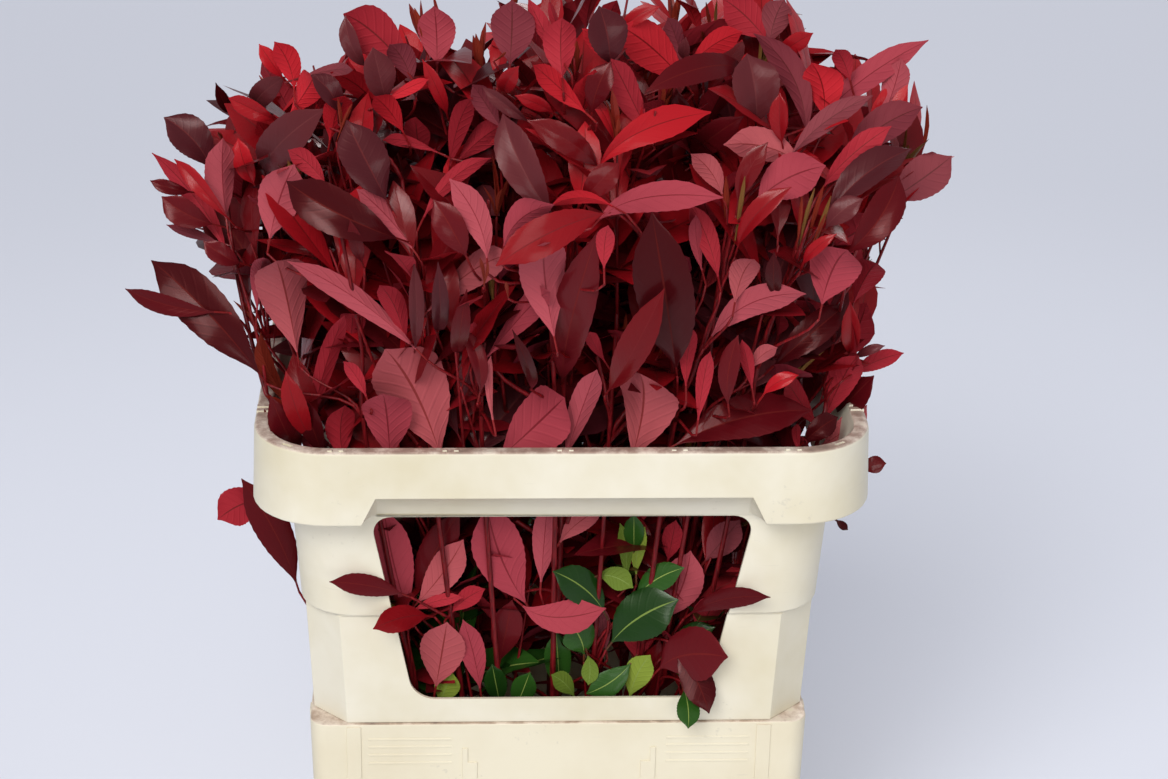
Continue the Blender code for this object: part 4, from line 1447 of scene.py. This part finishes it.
@dataclass
class Crown:
    """The room that the CAD masses give the foliage, and where the photograph's pixels meet it."""

    camera: PhotoCamera
    rim: float
    masses: Sequence[str]
    front_planes: tuple[tuple[float, float], ...] = (
        (-0.146, 0.150), (-0.125, 0.180), (-0.100, 0.197), (-0.075, 0.215), (-0.040, 9.0))
    rim_clear: float = 0.012
    low_crown: float = 0.10
    tries_per_place: int = 14
    heart_share: float = 0.3
    heart_drop: float = 0.05
    least_facing: float = 0.15
    lift_off: float = 0.006
    open_reach: float = 0.25

    def __post_init__(self) -> None:
        """Read the masses' surfaces."""
        self.trees = {}
        self.surface = []
        for name in self.masses:
            mesh = frame["nodes"][name].data
            points = [vert.co.copy() for vert in mesh.vertices]
            faces = [tuple(face.vertices) for face in mesh.polygons]
            self.trees[name] = BVHTree.FromPolygons(points, faces)
            self.surface.append((name, np.array([[points[index][:] for index in face] for face in faces])))
        everything = [vertex for _, corners in self.surface for vertex in corners.reshape(-1, 3)]
        triangles = [(i, i + 1, i + 2) for i in range(0, len(everything), 3)]
        self.hull = BVHTree.FromPolygons(everything, triangles)

    def meet(self, pixel: Sequence[float]) -> np.ndarray:
        """Return where a pixel's ray meets the crown's front, or the bunch's front over the rim."""
        hit = self.hull.ray_cast(Vector(self.camera.place), self.camera.ray(pixel))[0]
        places = ((self.camera.at_depth(pixel, depth), reach) for depth, reach in self.front_planes)
        near = next(place for place, reach in places if abs(place[0]) < reach)
        if hit is None or hit.z < self.rim + self.rim_clear:
            return near
        if hit.y > near[1] and near[2] < self.rim + self.low_crown:
            return near
        return np.array(hit)

    def within_outline(self, points: np.ndarray) -> float:
        """Return the share of the points over the rim that show inside the photograph's crown."""
        seen = self.camera.pixels(points[points[:, 2] > self.rim])
        if not len(seen):
            return 1.0
        inside = np.zeros(len(seen), bool)
        corners = np.array(CROWN_OUTLINE, float)
        for first, last in zip(corners, np.roll(corners, -1, axis=0)):
            if first[1] == last[1]:
                continue
            crosses = (seen[:, 1] < first[1]) != (seen[:, 1] < last[1])
            reach = first[0] + (seen[:, 1] - first[1]) * (last[0] - first[0]) / (last[1] - first[1])
            inside ^= crosses & (seen[:, 0] < reach)
        return inside.mean()

    def near_mass(self, place: np.ndarray) -> str:
        """Return the mass nearest to a place."""
        return min(self.trees, key=lambda name: self.trees[name].find_nearest(Vector(place))[3])

    def spread(self, spacing: float, rng: np.random.Generator) -> list[tuple[str, np.ndarray]]:
        """Return evenly spread places on the crown's open surface, each with its mass.

        Args:
            spacing: the least distance between two places.
            rng: the source of chance.

        Returns:
            Names and places.
        """
        found: list[tuple[str, np.ndarray]] = []
        for name, corners in self.surface:
            if name.startswith("collar"):
                continue
            edge_a, edge_b = corners[:, 1] - corners[:, 0], corners[:, 2] - corners[:, 0]
            cross = np.cross(edge_a, edge_b)
            area = np.linalg.norm(cross, axis=1) / 2
            tries = int(area.sum() / spacing ** 2 * self.tries_per_place)
            for face in rng.choice(len(corners), tries, p=area / area.sum()):
                a, b = rng.uniform(0, 1, 2)
                if a + b > 1:
                    a, b = 1 - a, 1 - b
                place = corners[face][0] + a * edge_a[face] + b * edge_b[face]
                heart = np.array([place[0] * self.heart_share, place[1] * self.heart_share,
                                  self.rim - self.heart_drop])
                outward = unit(place - heart)
                if cross[face] / (2 * area[face]) @ outward < self.least_facing:
                    continue
                start = Vector(place + outward * self.lift_off)
                if self.hull.ray_cast(start, Vector(outward), self.open_reach)[0] is not None:
                    continue
                if all(np.linalg.norm(place - other) > spacing for _, other in found):
                    found.append((name, place))
        return found


@dataclass
class Wood:
    """Stems, boughs and twigs: centre lines, and the tubes made on them."""

    rim: float
    floor: float = 0.0052
    thick: tuple[float, float] = (0.0029, 0.0016)
    bough_thick: tuple[float, float] = (0.0021, 0.0013)
    sides: int = 10
    steps: int = 64
    limb_ring: float = 0.008
    node_spacing: float = 0.022
    node_half: float = 0.004
    node_swell: float = 0.28
    uneven: float = 0.03
    set_back: float = 0.022
    set_back_above: float = 420.0
    outside_half: tuple[float, float] = (0.178, 0.125)
    twig_rise: float = 0.02
    twig_fall: float = 0.05
    twig_clear: float = 0.006
    twig_inward: float = 0.012
    twig_wish: tuple[float, float] = (0.030, 0.022)
    twig_bend: float = 0.028
    twig_steps: int = 7
    twig_sides: int = 6
    lines: list[np.ndarray] = field(default_factory=list)
    twigs: JoinedMesh = field(default_factory=JoinedMesh)
    stems: JoinedMesh = field(default_factory=JoinedMesh)

    def read_limb(self, name: str) -> np.ndarray:
        """Return the middle line of a CAD limb, from its foot to its tip."""
        points = np.unique(np.round([vert.co[:] for vert in frame["nodes"][name].data.vertices], 6), axis=0)
        groups: list[list[np.ndarray]] = []
        for point in points:
            for group in groups:
                if np.linalg.norm(group[0] - point) < self.limb_ring:
                    group.append(point)
                    break
            else:
                groups.append([point])
        middles = np.array([np.mean(group, axis=0) for group in groups if len(group) > 1])
        return middles[np.argsort(middles[:, 2])]

    def add_stem(self, path: np.ndarray, base: float, tip: float, rng: np.random.Generator) -> None:
        """Add one stem with swellings at its leaf scars and a slightly uneven bark.

        Args:
            path: places it passes, upwards.
            base: radius at its foot.
            tip: radius at its top.
            rng: the source of its unevenness.
        """
        line = smooth_path(path, self.steps)
        self.lines.append(line)
        run = np.concatenate([[0.0], np.cumsum(np.linalg.norm(np.diff(line, axis=0), axis=1))])
        radius = base + (tip - base) * run / run[-1]
        phase = rng.uniform(0, self.node_spacing)
        off_node = np.abs((run + phase) % self.node_spacing - self.node_spacing / 2)
        swell = np.clip(1 - off_node / self.node_half, 0, 1)
        sides = np.arange(self.sides)
        turn = np.floor((run + phase) / self.node_spacing) * GOLDEN_TURN
        toward = np.clip(np.cos(sides[None, :] * math.tau / self.sides - turn[:, None]), 0, 1)
        uneven = rng.uniform(-self.uneven, self.uneven, (len(run), self.sides))
        radii = radius[:, None] * (1 + self.node_swell * swell[:, None] * toward + uneven)
        add_tube(self.stems, line, radii, self.sides)

    def outside(self, place: np.ndarray) -> bool:
        """Tell whether a place lies outside the collar's body, seen from above."""
        return abs(place[0]) > self.outside_half[0] or abs(place[1]) > self.outside_half[1]

    def nearest(self, place: np.ndarray, foot: np.ndarray) -> np.ndarray:
        """Return the place on a stem nearest to a wish, from which a twig can reach its foot.

        Args:
            place: where the twig would best start.
            foot: where it ends.

        Returns:
            A place on a stem, on the same side of the container's rim as the foot.
        """
        everything = np.vstack(self.lines)
        height = everything[:, 2]
        if self.outside(foot):
            least = self.rim + self.twig_clear if foot[2] > self.rim else foot[2] - self.twig_fall
            fit = (height < foot[2] + self.twig_rise) & (height > least)
        else:
            fit = height < foot[2] - self.twig_clear
        inward = math.hypot(foot[0], foot[1]) - self.twig_inward
        behind = fit & (np.hypot(everything[:, 0], everything[:, 1]) < inward)
        low = everything[behind if behind.any() else fit]
        return low[np.argmin(np.linalg.norm(low - place, axis=1))]

    def add_twig(self, path: np.ndarray, base: float, tip: float, steps: int) -> None:
        """Add one twig along a path."""
        line = smooth_path(path, steps)
        add_tube(self.twigs, line, np.linspace(base, tip, steps), self.twig_sides)

    def join(self, foot: np.ndarray, along: np.ndarray, radius: float) -> None:
        """Grow a twig from the nearest stem to a place, which it reaches in a given direction.

        Args:
            foot: where the twig ends.
            along: its direction there.
            radius: its radius there.
        """
        back, down = self.twig_wish
        start = self.nearest(foot - along * back - np.array([0.0, 0.0, down]), foot)
        gap = np.linalg.norm(foot - start)
        first = start + np.array([0.0, 0.0, 0.30 * gap]) + (foot - start) * 0.12
        last = foot - unit(along + 1.6 * unit(foot - start)) * min(gap * 0.33, self.twig_bend)
        if foot[2] < self.rim and self.outside(foot):
            first, last = start + (foot - start) * 0.33, start + (foot - start) * 0.67
        share = np.linspace(0, 1, self.twig_steps)[:, None]
        path = ((1 - share) ** 3 * start + 3 * (1 - share) ** 2 * share * first
                + 3 * (1 - share) * share ** 2 * last + share ** 3 * foot)
        add_tube(self.twigs, path, np.linspace(radius * 1.5, radius, self.twig_steps), self.twig_sides)

    def grow_stems(self, crown: Crown, limbs: Sequence[str], rng: np.random.Generator) -> None:
        """Make the stems of the CAD limbs and the further ones that show at the front.

        Args:
            crown: the crown's room, whose front they stay behind.
            limbs: names of the CAD limbs.
            rng: the source of unevenness.
        """
        for name in limbs:
            path = self.read_limb(name)
            if name.startswith("bough"):
                self.add_stem(path, *self.bough_thick, rng)
            else:
                self.add_stem(path, self.thick[0] * rng.uniform(0.85, 1.05), self.thick[1], rng)
        for places in FRONT_STEMS:
            upper = []
            for across, down, back in places:
                pixel = (across, down)
                place = crown.camera.at_depth(pixel, back * MM)
                behind = crown.meet(pixel)[1] + self.set_back
                if down < self.set_back_above and behind > place[1]:
                    place = crown.camera.at_depth(pixel, behind)
                upper.append(place)
            at_rim = upper[-1]
            foot = np.array([at_rim[0] * STEM_FEET, at_rim[1] * STEM_FEET, self.floor])
            middle = foot + (at_rim - foot) * 0.55 + np.array([at_rim[0] * 0.03, at_rim[1] * 0.03, 0.0])
            path = np.array([foot, middle, *upper[::-1]])
            self.add_stem(path, self.thick[0] * rng.uniform(0.8, 1.0), self.thick[1] * 0.8, rng)

    def build(self, limbs: Sequence[str]) -> None:
        """Make the pieces of stems and twigs."""
        stem_bark = YoungBark("dark_red_stem_bark", "48080b", "761218").build()
        twig_bark = YoungBark("red_twig_bark", "540a0e", "84141a").build()
        stems = self.stems.build("stems", [stem_bark])
        seat(stems, limbs)
        twigs = self.twigs.build("twigs", [twig_bark])
        seat(twigs, [name for name in limbs if name.startswith("bough")])


def unit(vector: np.ndarray) -> np.ndarray:
    """Return a vector at length one."""
    return vector / np.linalg.norm(vector)


@dataclass(frozen=True)
class Bends:
    """Ranges of a placed leaf's bends, the length of its stalk and a factor on its width."""

    recurve: tuple[float, float]
    fold: tuple[float, float]
    roll: float
    petiole: float
    fuller: float


FRONT_BENDS = Bends((0.5, 1.3), (0.28, 0.72), 0.42, 0.011, 1.10)
WINDOW_BENDS = Bends((0.2, 0.4), (0.1, 0.25), 0.12, 0.009, 1.05)

# Shares of the tints in shoots inside the collar, low in the crown and high in it
COLLAR_TINTS = {BUR: 0.24, CRI: 0.22, COR: 0.20, GRE: 0.34}
LOW_TINTS = {BUR: 0.44, CRI: 0.30, COR: 0.10, MAU: 0.16}
HIGH_TINTS = {BUR: 0.24, CRI: 0.28, SCA: 0.18, MAU: 0.22, COR: 0.08}


@dataclass
class Foliage:
    """All leaves of the bunch: those placed by the photograph, and the sprays that fill the crown."""

    camera: PhotoCamera
    crown: Crown
    wood: Wood
    low: Vector
    high: Vector
    rng: np.random.Generator
    spacing: float = 0.050
    shoot_depth: float = 0.046
    internode: float = 0.0125
    cell: float = 4.0
    set_back: float = 0.016
    rim_set_back: float = 0.004
    rim_pixel: float = 430.0
    pixels_per_mm: float = 1.35
    tip_ahead: float = 0.004
    young_ahead: float = 0.005
    young_back: float = 0.016
    leaf_twig: float = 0.0009
    young_twig: float = 0.0008
    shoot_twig: float = 0.0014
    leaf_length: tuple[float, float] = (0.052, 0.046)
    leaf_slim: tuple[float, float] = (0.165, 0.215)
    least_shown: float = 0.9
    young_shown: float = 0.7
    most_hiding: float = 0.10
    nearer: float = 0.001
    young_chance: float = 0.30
    tints_low: float = -0.10
    tints_high: float = 0.12
    top_height: float = 0.22
    top_size: float = 0.86
    root_share: float = 0.34
    root_drop: float = 0.16
    inner_leaves: int = 8
    rim_shoots: int = 30
    rim_leaves: int = 7
    rim_half: tuple[float, float] = (0.160, 0.107)
    rim_size: float = 0.88
    room_drops: tuple[float, ...] = (0.0, 0.055, 0.140, 0.150, 0.236)
    room_halves: tuple[float, ...] = (0.206, 0.189, 0.186, 0.182, 0.178)
    room_depth_less: float = 0.053
    room_corner: float = 0.026
    room_margin: float = 0.008
    rim_clear: float = 0.004
    batches: dict = field(default_factory=dict)
    shown: dict = field(default_factory=dict)
    kept: int = 0
    dropped: int = 0

    def facing_leaf(self, foot: np.ndarray, tip: np.ndarray, width: float, side: Side, bow: float,
                    recurve: float, fold: float, roll: float, petiole: float) -> Leaf:
        """Return a leaf that runs from foot to tip with one side towards the photograph's camera.

        Args:
            foot: where the blade starts.
            tip: where it ends.
            width: its full width in metres.
            side: the side that shows.
            bow: how far its middle strays to the left of the chord, in metres.
            recurve: how far it bends back, in radians.
            fold: how far its halves fold up, in radians.
            roll: its turn about its own length.
            petiole: length of its stalk.

        Returns:
            The leaf.
        """
        chord = np.linalg.norm(tip - foot)
        course = (tip - foot) / chord
        front = -self.camera.away((foot + tip) / 2)
        front = unit(front - course * (course @ front))
        front = front * math.cos(roll) + np.cross(course, front) * math.sin(roll)
        left = -np.cross(course, front)
        swing = 8 * bow / chord
        face = front * side.value
        along = course * math.cos(swing / 2) + left * math.sin(swing / 2)
        along = unit(along * math.cos(recurve / 2) + face * math.sin(recurve / 2))
        face = unit(face - along * (face @ along))
        length = chord * (recurve / 2) / math.sin(recurve / 2)
        rng = self.rng
        return Leaf(foot - along * petiole, along, face, length, width / 2, recurve, fold,
                    rng.uniform(-0.15, 0.15), swing * side.value, rng.uniform(0.03, 0.09),
                    rng.uniform(0, 6), petiole)

    def put(self, leaf: Leaf, tint: Tint, shade: int, pattern: LeafPattern, node: str) -> None:
        """Add a leaf to the batch of its colour."""
        key = (tint, shade)
        if key not in self.batches:
            self.batches[key] = (JoinedMesh(), set())
        pattern.add_to(self.batches[key][0], leaf)
        self.batches[key][1].add(node)

    def inside(self, points: np.ndarray) -> bool:
        """Tell whether points stay in the crown's room and out of the container's wall."""
        low, high = np.array(self.low) - self.room_margin, np.array(self.high) + self.room_margin
        if np.any(points < low) or np.any(points > high):
            return False
        below = points[points[:, 2] < self.crown.rim + self.rim_clear]
        if not len(below):
            return True
        drop = self.crown.rim - below[:, 2]
        reach = np.interp(drop, self.room_drops, self.room_halves)
        across, deep = np.abs(below[:, 0]), np.abs(below[:, 1])
        corner = across + deep > 2 * reach - self.room_depth_less - self.room_corner
        return not np.any((across > reach) | (deep > reach - self.room_depth_less) | corner)

    def mark(self, points: np.ndarray, leaf_pattern: LeafPattern) -> None:
        """Note where a placed leaf shows in the photograph and how near it is."""
        middles = points[leaf_pattern.faces].mean(axis=1)
        for x, y, depth in self.camera.pixels(np.vstack([points, middles])):
            for shift_x in (-1, 0, 1):
                for shift_y in (-1, 0, 1):
                    cell = (int(x // self.cell) + shift_x, int(y // self.cell) + shift_y)
                    self.shown[cell] = min(self.shown.get(cell, 99.0), depth)

    def hides(self, points: np.ndarray) -> bool:
        """Tell whether a leaf would stand before one placed by the photograph."""
        count = 0
        for x, y, depth in self.camera.pixels(points):
            near = self.shown.get((int(x // self.cell), int(y // self.cell)))
            if near is not None and depth < near - self.nearer:
                count += 1
        return count > self.most_hiding * len(points)

    def place_leaf(self, foot: np.ndarray, tip: np.ndarray, look: Sequence, size: float, bends: Bends,
                   order: int) -> None:
        """Place one large leaf of a table, and the twig that bears it.

        Args:
            foot: where its blade starts.
            tip: where it ends.
            look: its width in pixels, the side that shows, its tint and its bow in pixels.
            size: metres that a pixel covers there.
            bends: the ranges of its bends.
            order: its number in the table, which picks its shade.
        """
        width, side, tint, bow = look
        rng = self.rng
        leaf = self.facing_leaf(foot, tip, width * size * bends.fuller, side, bow * size,
                                rng.uniform(*bends.recurve), rng.uniform(*bends.fold),
                                rng.uniform(-bends.roll, bends.roll), bends.petiole)
        self.put(leaf, tint, order % len(FINISHES[tint]), FRONT_LEAF, self.crown.near_mass(tip))
        self.mark(FRONT_LEAF.shape(leaf), FRONT_LEAF)
        self.wood.join(leaf.base, leaf.along, self.leaf_twig)

    def place_front(self) -> None:
        """Place the leaves that the photograph shows at the crown's front."""
        for order, (foot_x, foot_y, tip_x, tip_y, *look) in enumerate(FRONT_LEAVES):
            foot_pixel, tip_pixel = (foot_x, foot_y), (tip_x, tip_y)
            foot, tip = self.crown.meet(foot_pixel), self.crown.meet(tip_pixel)
            reach = math.dist(foot_pixel, tip_pixel) / self.pixels_per_mm * MM
            gap = tip[1] - foot[1]
            if abs(gap) > reach * 0.5:
                tip = self.camera.at_depth(tip_pixel, foot[1] + math.copysign(reach * 0.5, gap))
            away = self.camera.away(foot)
            foot = foot + away * (self.rim_set_back if foot_y > self.rim_pixel else self.set_back)
            tip = tip - away * self.tip_ahead
            size = self.camera.pixel_size((foot + tip) / 2)
            self.place_leaf(foot, tip, look, size, FRONT_BENDS, order)
        for foot_x, foot_y, tip_x, tip_y, width in YOUNG_LEAVES:
            tip = self.crown.meet((tip_x, tip_y))
            tip = tip - self.camera.away(tip) * self.young_ahead
            foot = self.camera.at_depth((foot_x, foot_y), tip[1] + self.young_back)
            leaf = self.facing_leaf(foot, tip, width * self.camera.pixel_size(foot), UNDER, 0.0, 0.2, 0.9,
                                    self.rng.uniform(-0.6, 0.6), 0.004)
            self.put(leaf, Tint.BRONZE, int(tip_x) % 2, SMALL_LEAF, self.crown.near_mass(tip))
            self.mark(SMALL_LEAF.shape(leaf), SMALL_LEAF)
            self.wood.join(leaf.base, leaf.along, self.young_twig)

    def place_window(self) -> None:
        """Place the leaves that show in the front window and beside the collar."""
        for order, row in enumerate(WINDOW_LEAVES):
            foot_x, foot_y, tip_x, tip_y, *look, foot_back, tip_back = row
            foot = self.camera.at_depth((foot_x, foot_y), foot_back * MM)
            tip = self.camera.at_depth((tip_x, tip_y), tip_back * MM)
            self.place_leaf(foot, tip, look, self.camera.pixel_size(foot), WINDOW_BENDS, order)

    def shoot_tints(self, height: float) -> list[Tint]:
        """Return the tints of a shoot's leaves, the youngest first."""
        if height < self.tints_low:
            weights = COLLAR_TINTS
        else:
            weights = LOW_TINTS if height < self.tints_high else HIGH_TINTS
        main = list(weights)[self.rng.choice(len(weights), p=list(weights.values()))]
        bright = CRI if height < self.tints_high else SCA
        young = {BUR: CRI, CRI: bright, SCA: SCA, MAU: CRI, COR: CRI, GRE: GRE}[main]
        return [young, young, young if self.rng.random() < 0.4 else main, main, main]

    @staticmethod
    def splay(axis: np.ndarray, radial: np.ndarray, spread: float,
              lift: float = 0.0) -> tuple[np.ndarray, np.ndarray]:
        """Return the direction of a leaf spread from its shoot, and the way its upper side faces."""
        along = unit(axis * math.cos(spread) + radial * math.sin(spread) + np.array([0.0, 0.0, lift]))
        face = axis * math.sin(spread) - radial * math.cos(spread)
        return along, unit(face - along * (face @ along))

    def grow_shoot(self, tip: np.ndarray, axis: np.ndarray, count: int, node: str, size: float = 1.0) -> None:
        """Grow one leafy shoot, its leaves in a spiral from its tip down.

        Args:
            tip: the shoot's tip.
            axis: the way it grows.
            count: how many leaves it bears.
            node: the mass it belongs to.
            size: a factor on its leaves.
        """
        rng = self.rng
        ends = np.array([tip, tip - axis * count * self.internode])
        if self.crown.within_outline(ends) < 1.0 or not self.inside(ends):
            return
        if self.hides(np.linspace(ends[0], ends[1], 8)):
            return
        across = unit(np.cross(axis, (0.3, 0.2, 0.9)))
        other = np.cross(axis, across)
        start = rng.uniform(0, math.tau)
        tints = self.shoot_tints(tip[2] - self.crown.rim)
        placed = 0
        for index in range(count):
            turn = start + index * GOLDEN_TURN + rng.uniform(-0.2, 0.2)
            radial = across * math.cos(turn) + other * math.sin(turn)
            age = index / max(count - 1, 1)
            spread = math.radians(20 + 42 * age + rng.uniform(-9, 9))
            along, face = self.splay(axis, radial, spread, 0.10)
            roll = rng.uniform(-0.35, 0.35)
            face = face * math.cos(roll) + np.cross(along, face) * math.sin(roll)
            least, growth = self.leaf_length
            length = size * (least + growth * min(age * 2.4, 1.0)) * rng.uniform(0.85, 1.15)
            base = tip - axis * (0.004 + index * self.internode)
            leaf = Leaf(base, along, face, length, length * rng.uniform(*self.leaf_slim),
                        rng.uniform(0.15, 0.9), rng.uniform(0.22, 0.72), rng.uniform(-0.4, 0.4),
                        rng.uniform(-0.35, 0.35), rng.uniform(0.03, 0.12), rng.uniform(0, 6), 0.010 * size)
            points = SPRAY_LEAF.shape(leaf)
            shown = self.inside(points) and not self.hides(points)
            if not shown or self.crown.within_outline(points) < self.least_shown:
                self.dropped += 1
                continue
            tint = tints[min(int(age * 5), 4)]
            self.put(leaf, tint, int(rng.random() * len(FINISHES[tint])), SPRAY_LEAF, node)
            placed += 1
        if placed and rng.random() < self.young_chance:
            self.grow_young_tip(tip, axis, across, other, node)
        if placed:
            foot = tip - axis * count * self.internode
            path = np.array([foot, (foot + tip) / 2, tip])
            self.wood.add_twig(path, self.shoot_twig, self.young_twig, 5)
            self.wood.join(foot, axis, self.shoot_twig)
        self.kept += placed

    def grow_young_tip(self, tip: np.ndarray, axis: np.ndarray, across: np.ndarray, other: np.ndarray,
                       node: str) -> None:
        """Add the narrow, rolled young leaves of a growing tip."""
        rng = self.rng
        shade = int(rng.random() < 0.35)
        for index in range(5):
            turn = index * GOLDEN_TURN + rng.uniform(-0.3, 0.3)
            radial = across * math.cos(turn) + other * math.sin(turn)
            along, face = self.splay(axis, radial, rng.uniform(0.05, 0.30))
            length = rng.uniform(0.022, 0.044)
            leaf = Leaf(tip, along, face, length, length * rng.uniform(0.07, 0.11),
                        rng.uniform(-0.1, 0.35), rng.uniform(0.7, 1.1), 0.0, 0.0, 0.02, 0.0, 0.004)
            points = SMALL_LEAF.shape(leaf)
            shown = self.inside(points) and not self.hides(points)
            if shown and self.crown.within_outline(points) > self.young_shown:
                self.put(leaf, Tint.BRONZE, shade, SMALL_LEAF, node)

    def fill_crown(self) -> None:
        """Grow shoots over the crown's open surface, through its middle and inside the collar."""
        rng = self.rng
        for name, place in self.crown.spread(self.spacing, rng):
            root = np.array([place[0] * self.root_share, place[1] * self.root_share,
                             self.crown.rim - self.root_drop])
            axis = unit(unit(place - root) + np.array([0.0, 0.0, 0.25]) + rng.uniform(-0.12, 0.12, 3))
            size = self.top_size if place[2] > self.crown.rim + self.top_height else 1.0
            leaves = int(rng.integers(9, 13))
            self.grow_shoot(place - axis * self.shoot_depth, axis, leaves, name, size)
        for name in self.crown.masses:
            low, high = (np.array(corner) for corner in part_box(name))
            size = self.top_size if name.startswith("collar") else 1.0
            for _ in range({"collar": 24, "inner_": 16}.get(name[:6], 2)):
                place = low + (high - low) * rng.uniform(0.12, 0.88, 3)
                axis = unit(np.array([place[0] * 0.6, place[1] * 0.6, 0.35]) + rng.uniform(-0.08, 0.08, 3))
                self.grow_shoot(place, axis, self.inner_leaves, name, size)

    def fill_rim(self) -> None:
        """Grow low shoots round the rim, which close the crown down to the container."""
        rng = self.rng
        for index in range(self.rim_shoots):
            turn = (index + rng.uniform(-0.3, 0.3)) * math.tau / self.rim_shoots
            outward = np.array([math.cos(turn), math.sin(turn), 0.0])
            half_x, half_y = self.rim_half
            reach = 1 / max(abs(outward[0]) / half_x, abs(outward[1]) / half_y)
            tip = outward * reach + np.array([0.0, 0.0, self.crown.rim + rng.uniform(0.045, 0.085)])
            axis = unit(outward * rng.uniform(0.35, 0.65) + np.array([0.0, 0.0, 1.0]))
            self.grow_shoot(tip, axis, self.rim_leaves, self.crown.near_mass(tip), self.rim_size)

    def build(self) -> None:
        """Make one piece of leaves for each shade."""
        covered: set[str] = set()
        order = sorted(self.batches, key=lambda key: (key[0].value, key[1]))
        for tint, shade in order:
            target, nodes = self.batches[(tint, shade)]
            name = f"{tint.value}_leaves_{shade + 1}"
            piece = target.build(name, FINISHES[tint][shade].build(f"{tint.value}_{shade + 1}"))
            covered |= nodes
            if (tint, shade) == order[-1]:
                nodes = nodes | (set(self.crown.masses) - covered)
            seat(piece, sorted(nodes))
        LOG.info("leaves: %d in sprays, %d left out", self.kept, self.dropped)


def main() -> None:
    """Build every sub-assembly and report it."""
    low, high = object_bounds()
    scene = bpy.context.scene
    scene.view_settings.view_transform = "Standard"
    camera = PhotoCamera()
    camera.build()
    Studio().build()
    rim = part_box("collar")[1].z
    Collar(rim=rim).build()
    Bucket().build()
    nodes = sorted(frame["nodes"])
    limbs = [name for name in nodes if "stem" in name or "bough" in name]
    masses = [name for name in nodes if "mass" in name]
    rng = np.random.default_rng(SEED)
    crown = Crown(camera, rim, masses)
    wood = Wood(rim)
    wood.grow_stems(crown, limbs, rng)
    foliage = Foliage(camera, crown, wood, low, high, rng)
    foliage.place_front()
    foliage.place_window()
    foliage.fill_crown()
    foliage.fill_rim()
    foliage.build()
    wood.build(limbs)
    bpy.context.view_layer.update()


if __name__ == "__main__":
    logging.basicConfig(level=logging.INFO, format="%(name)s: %(message)s")
    main()
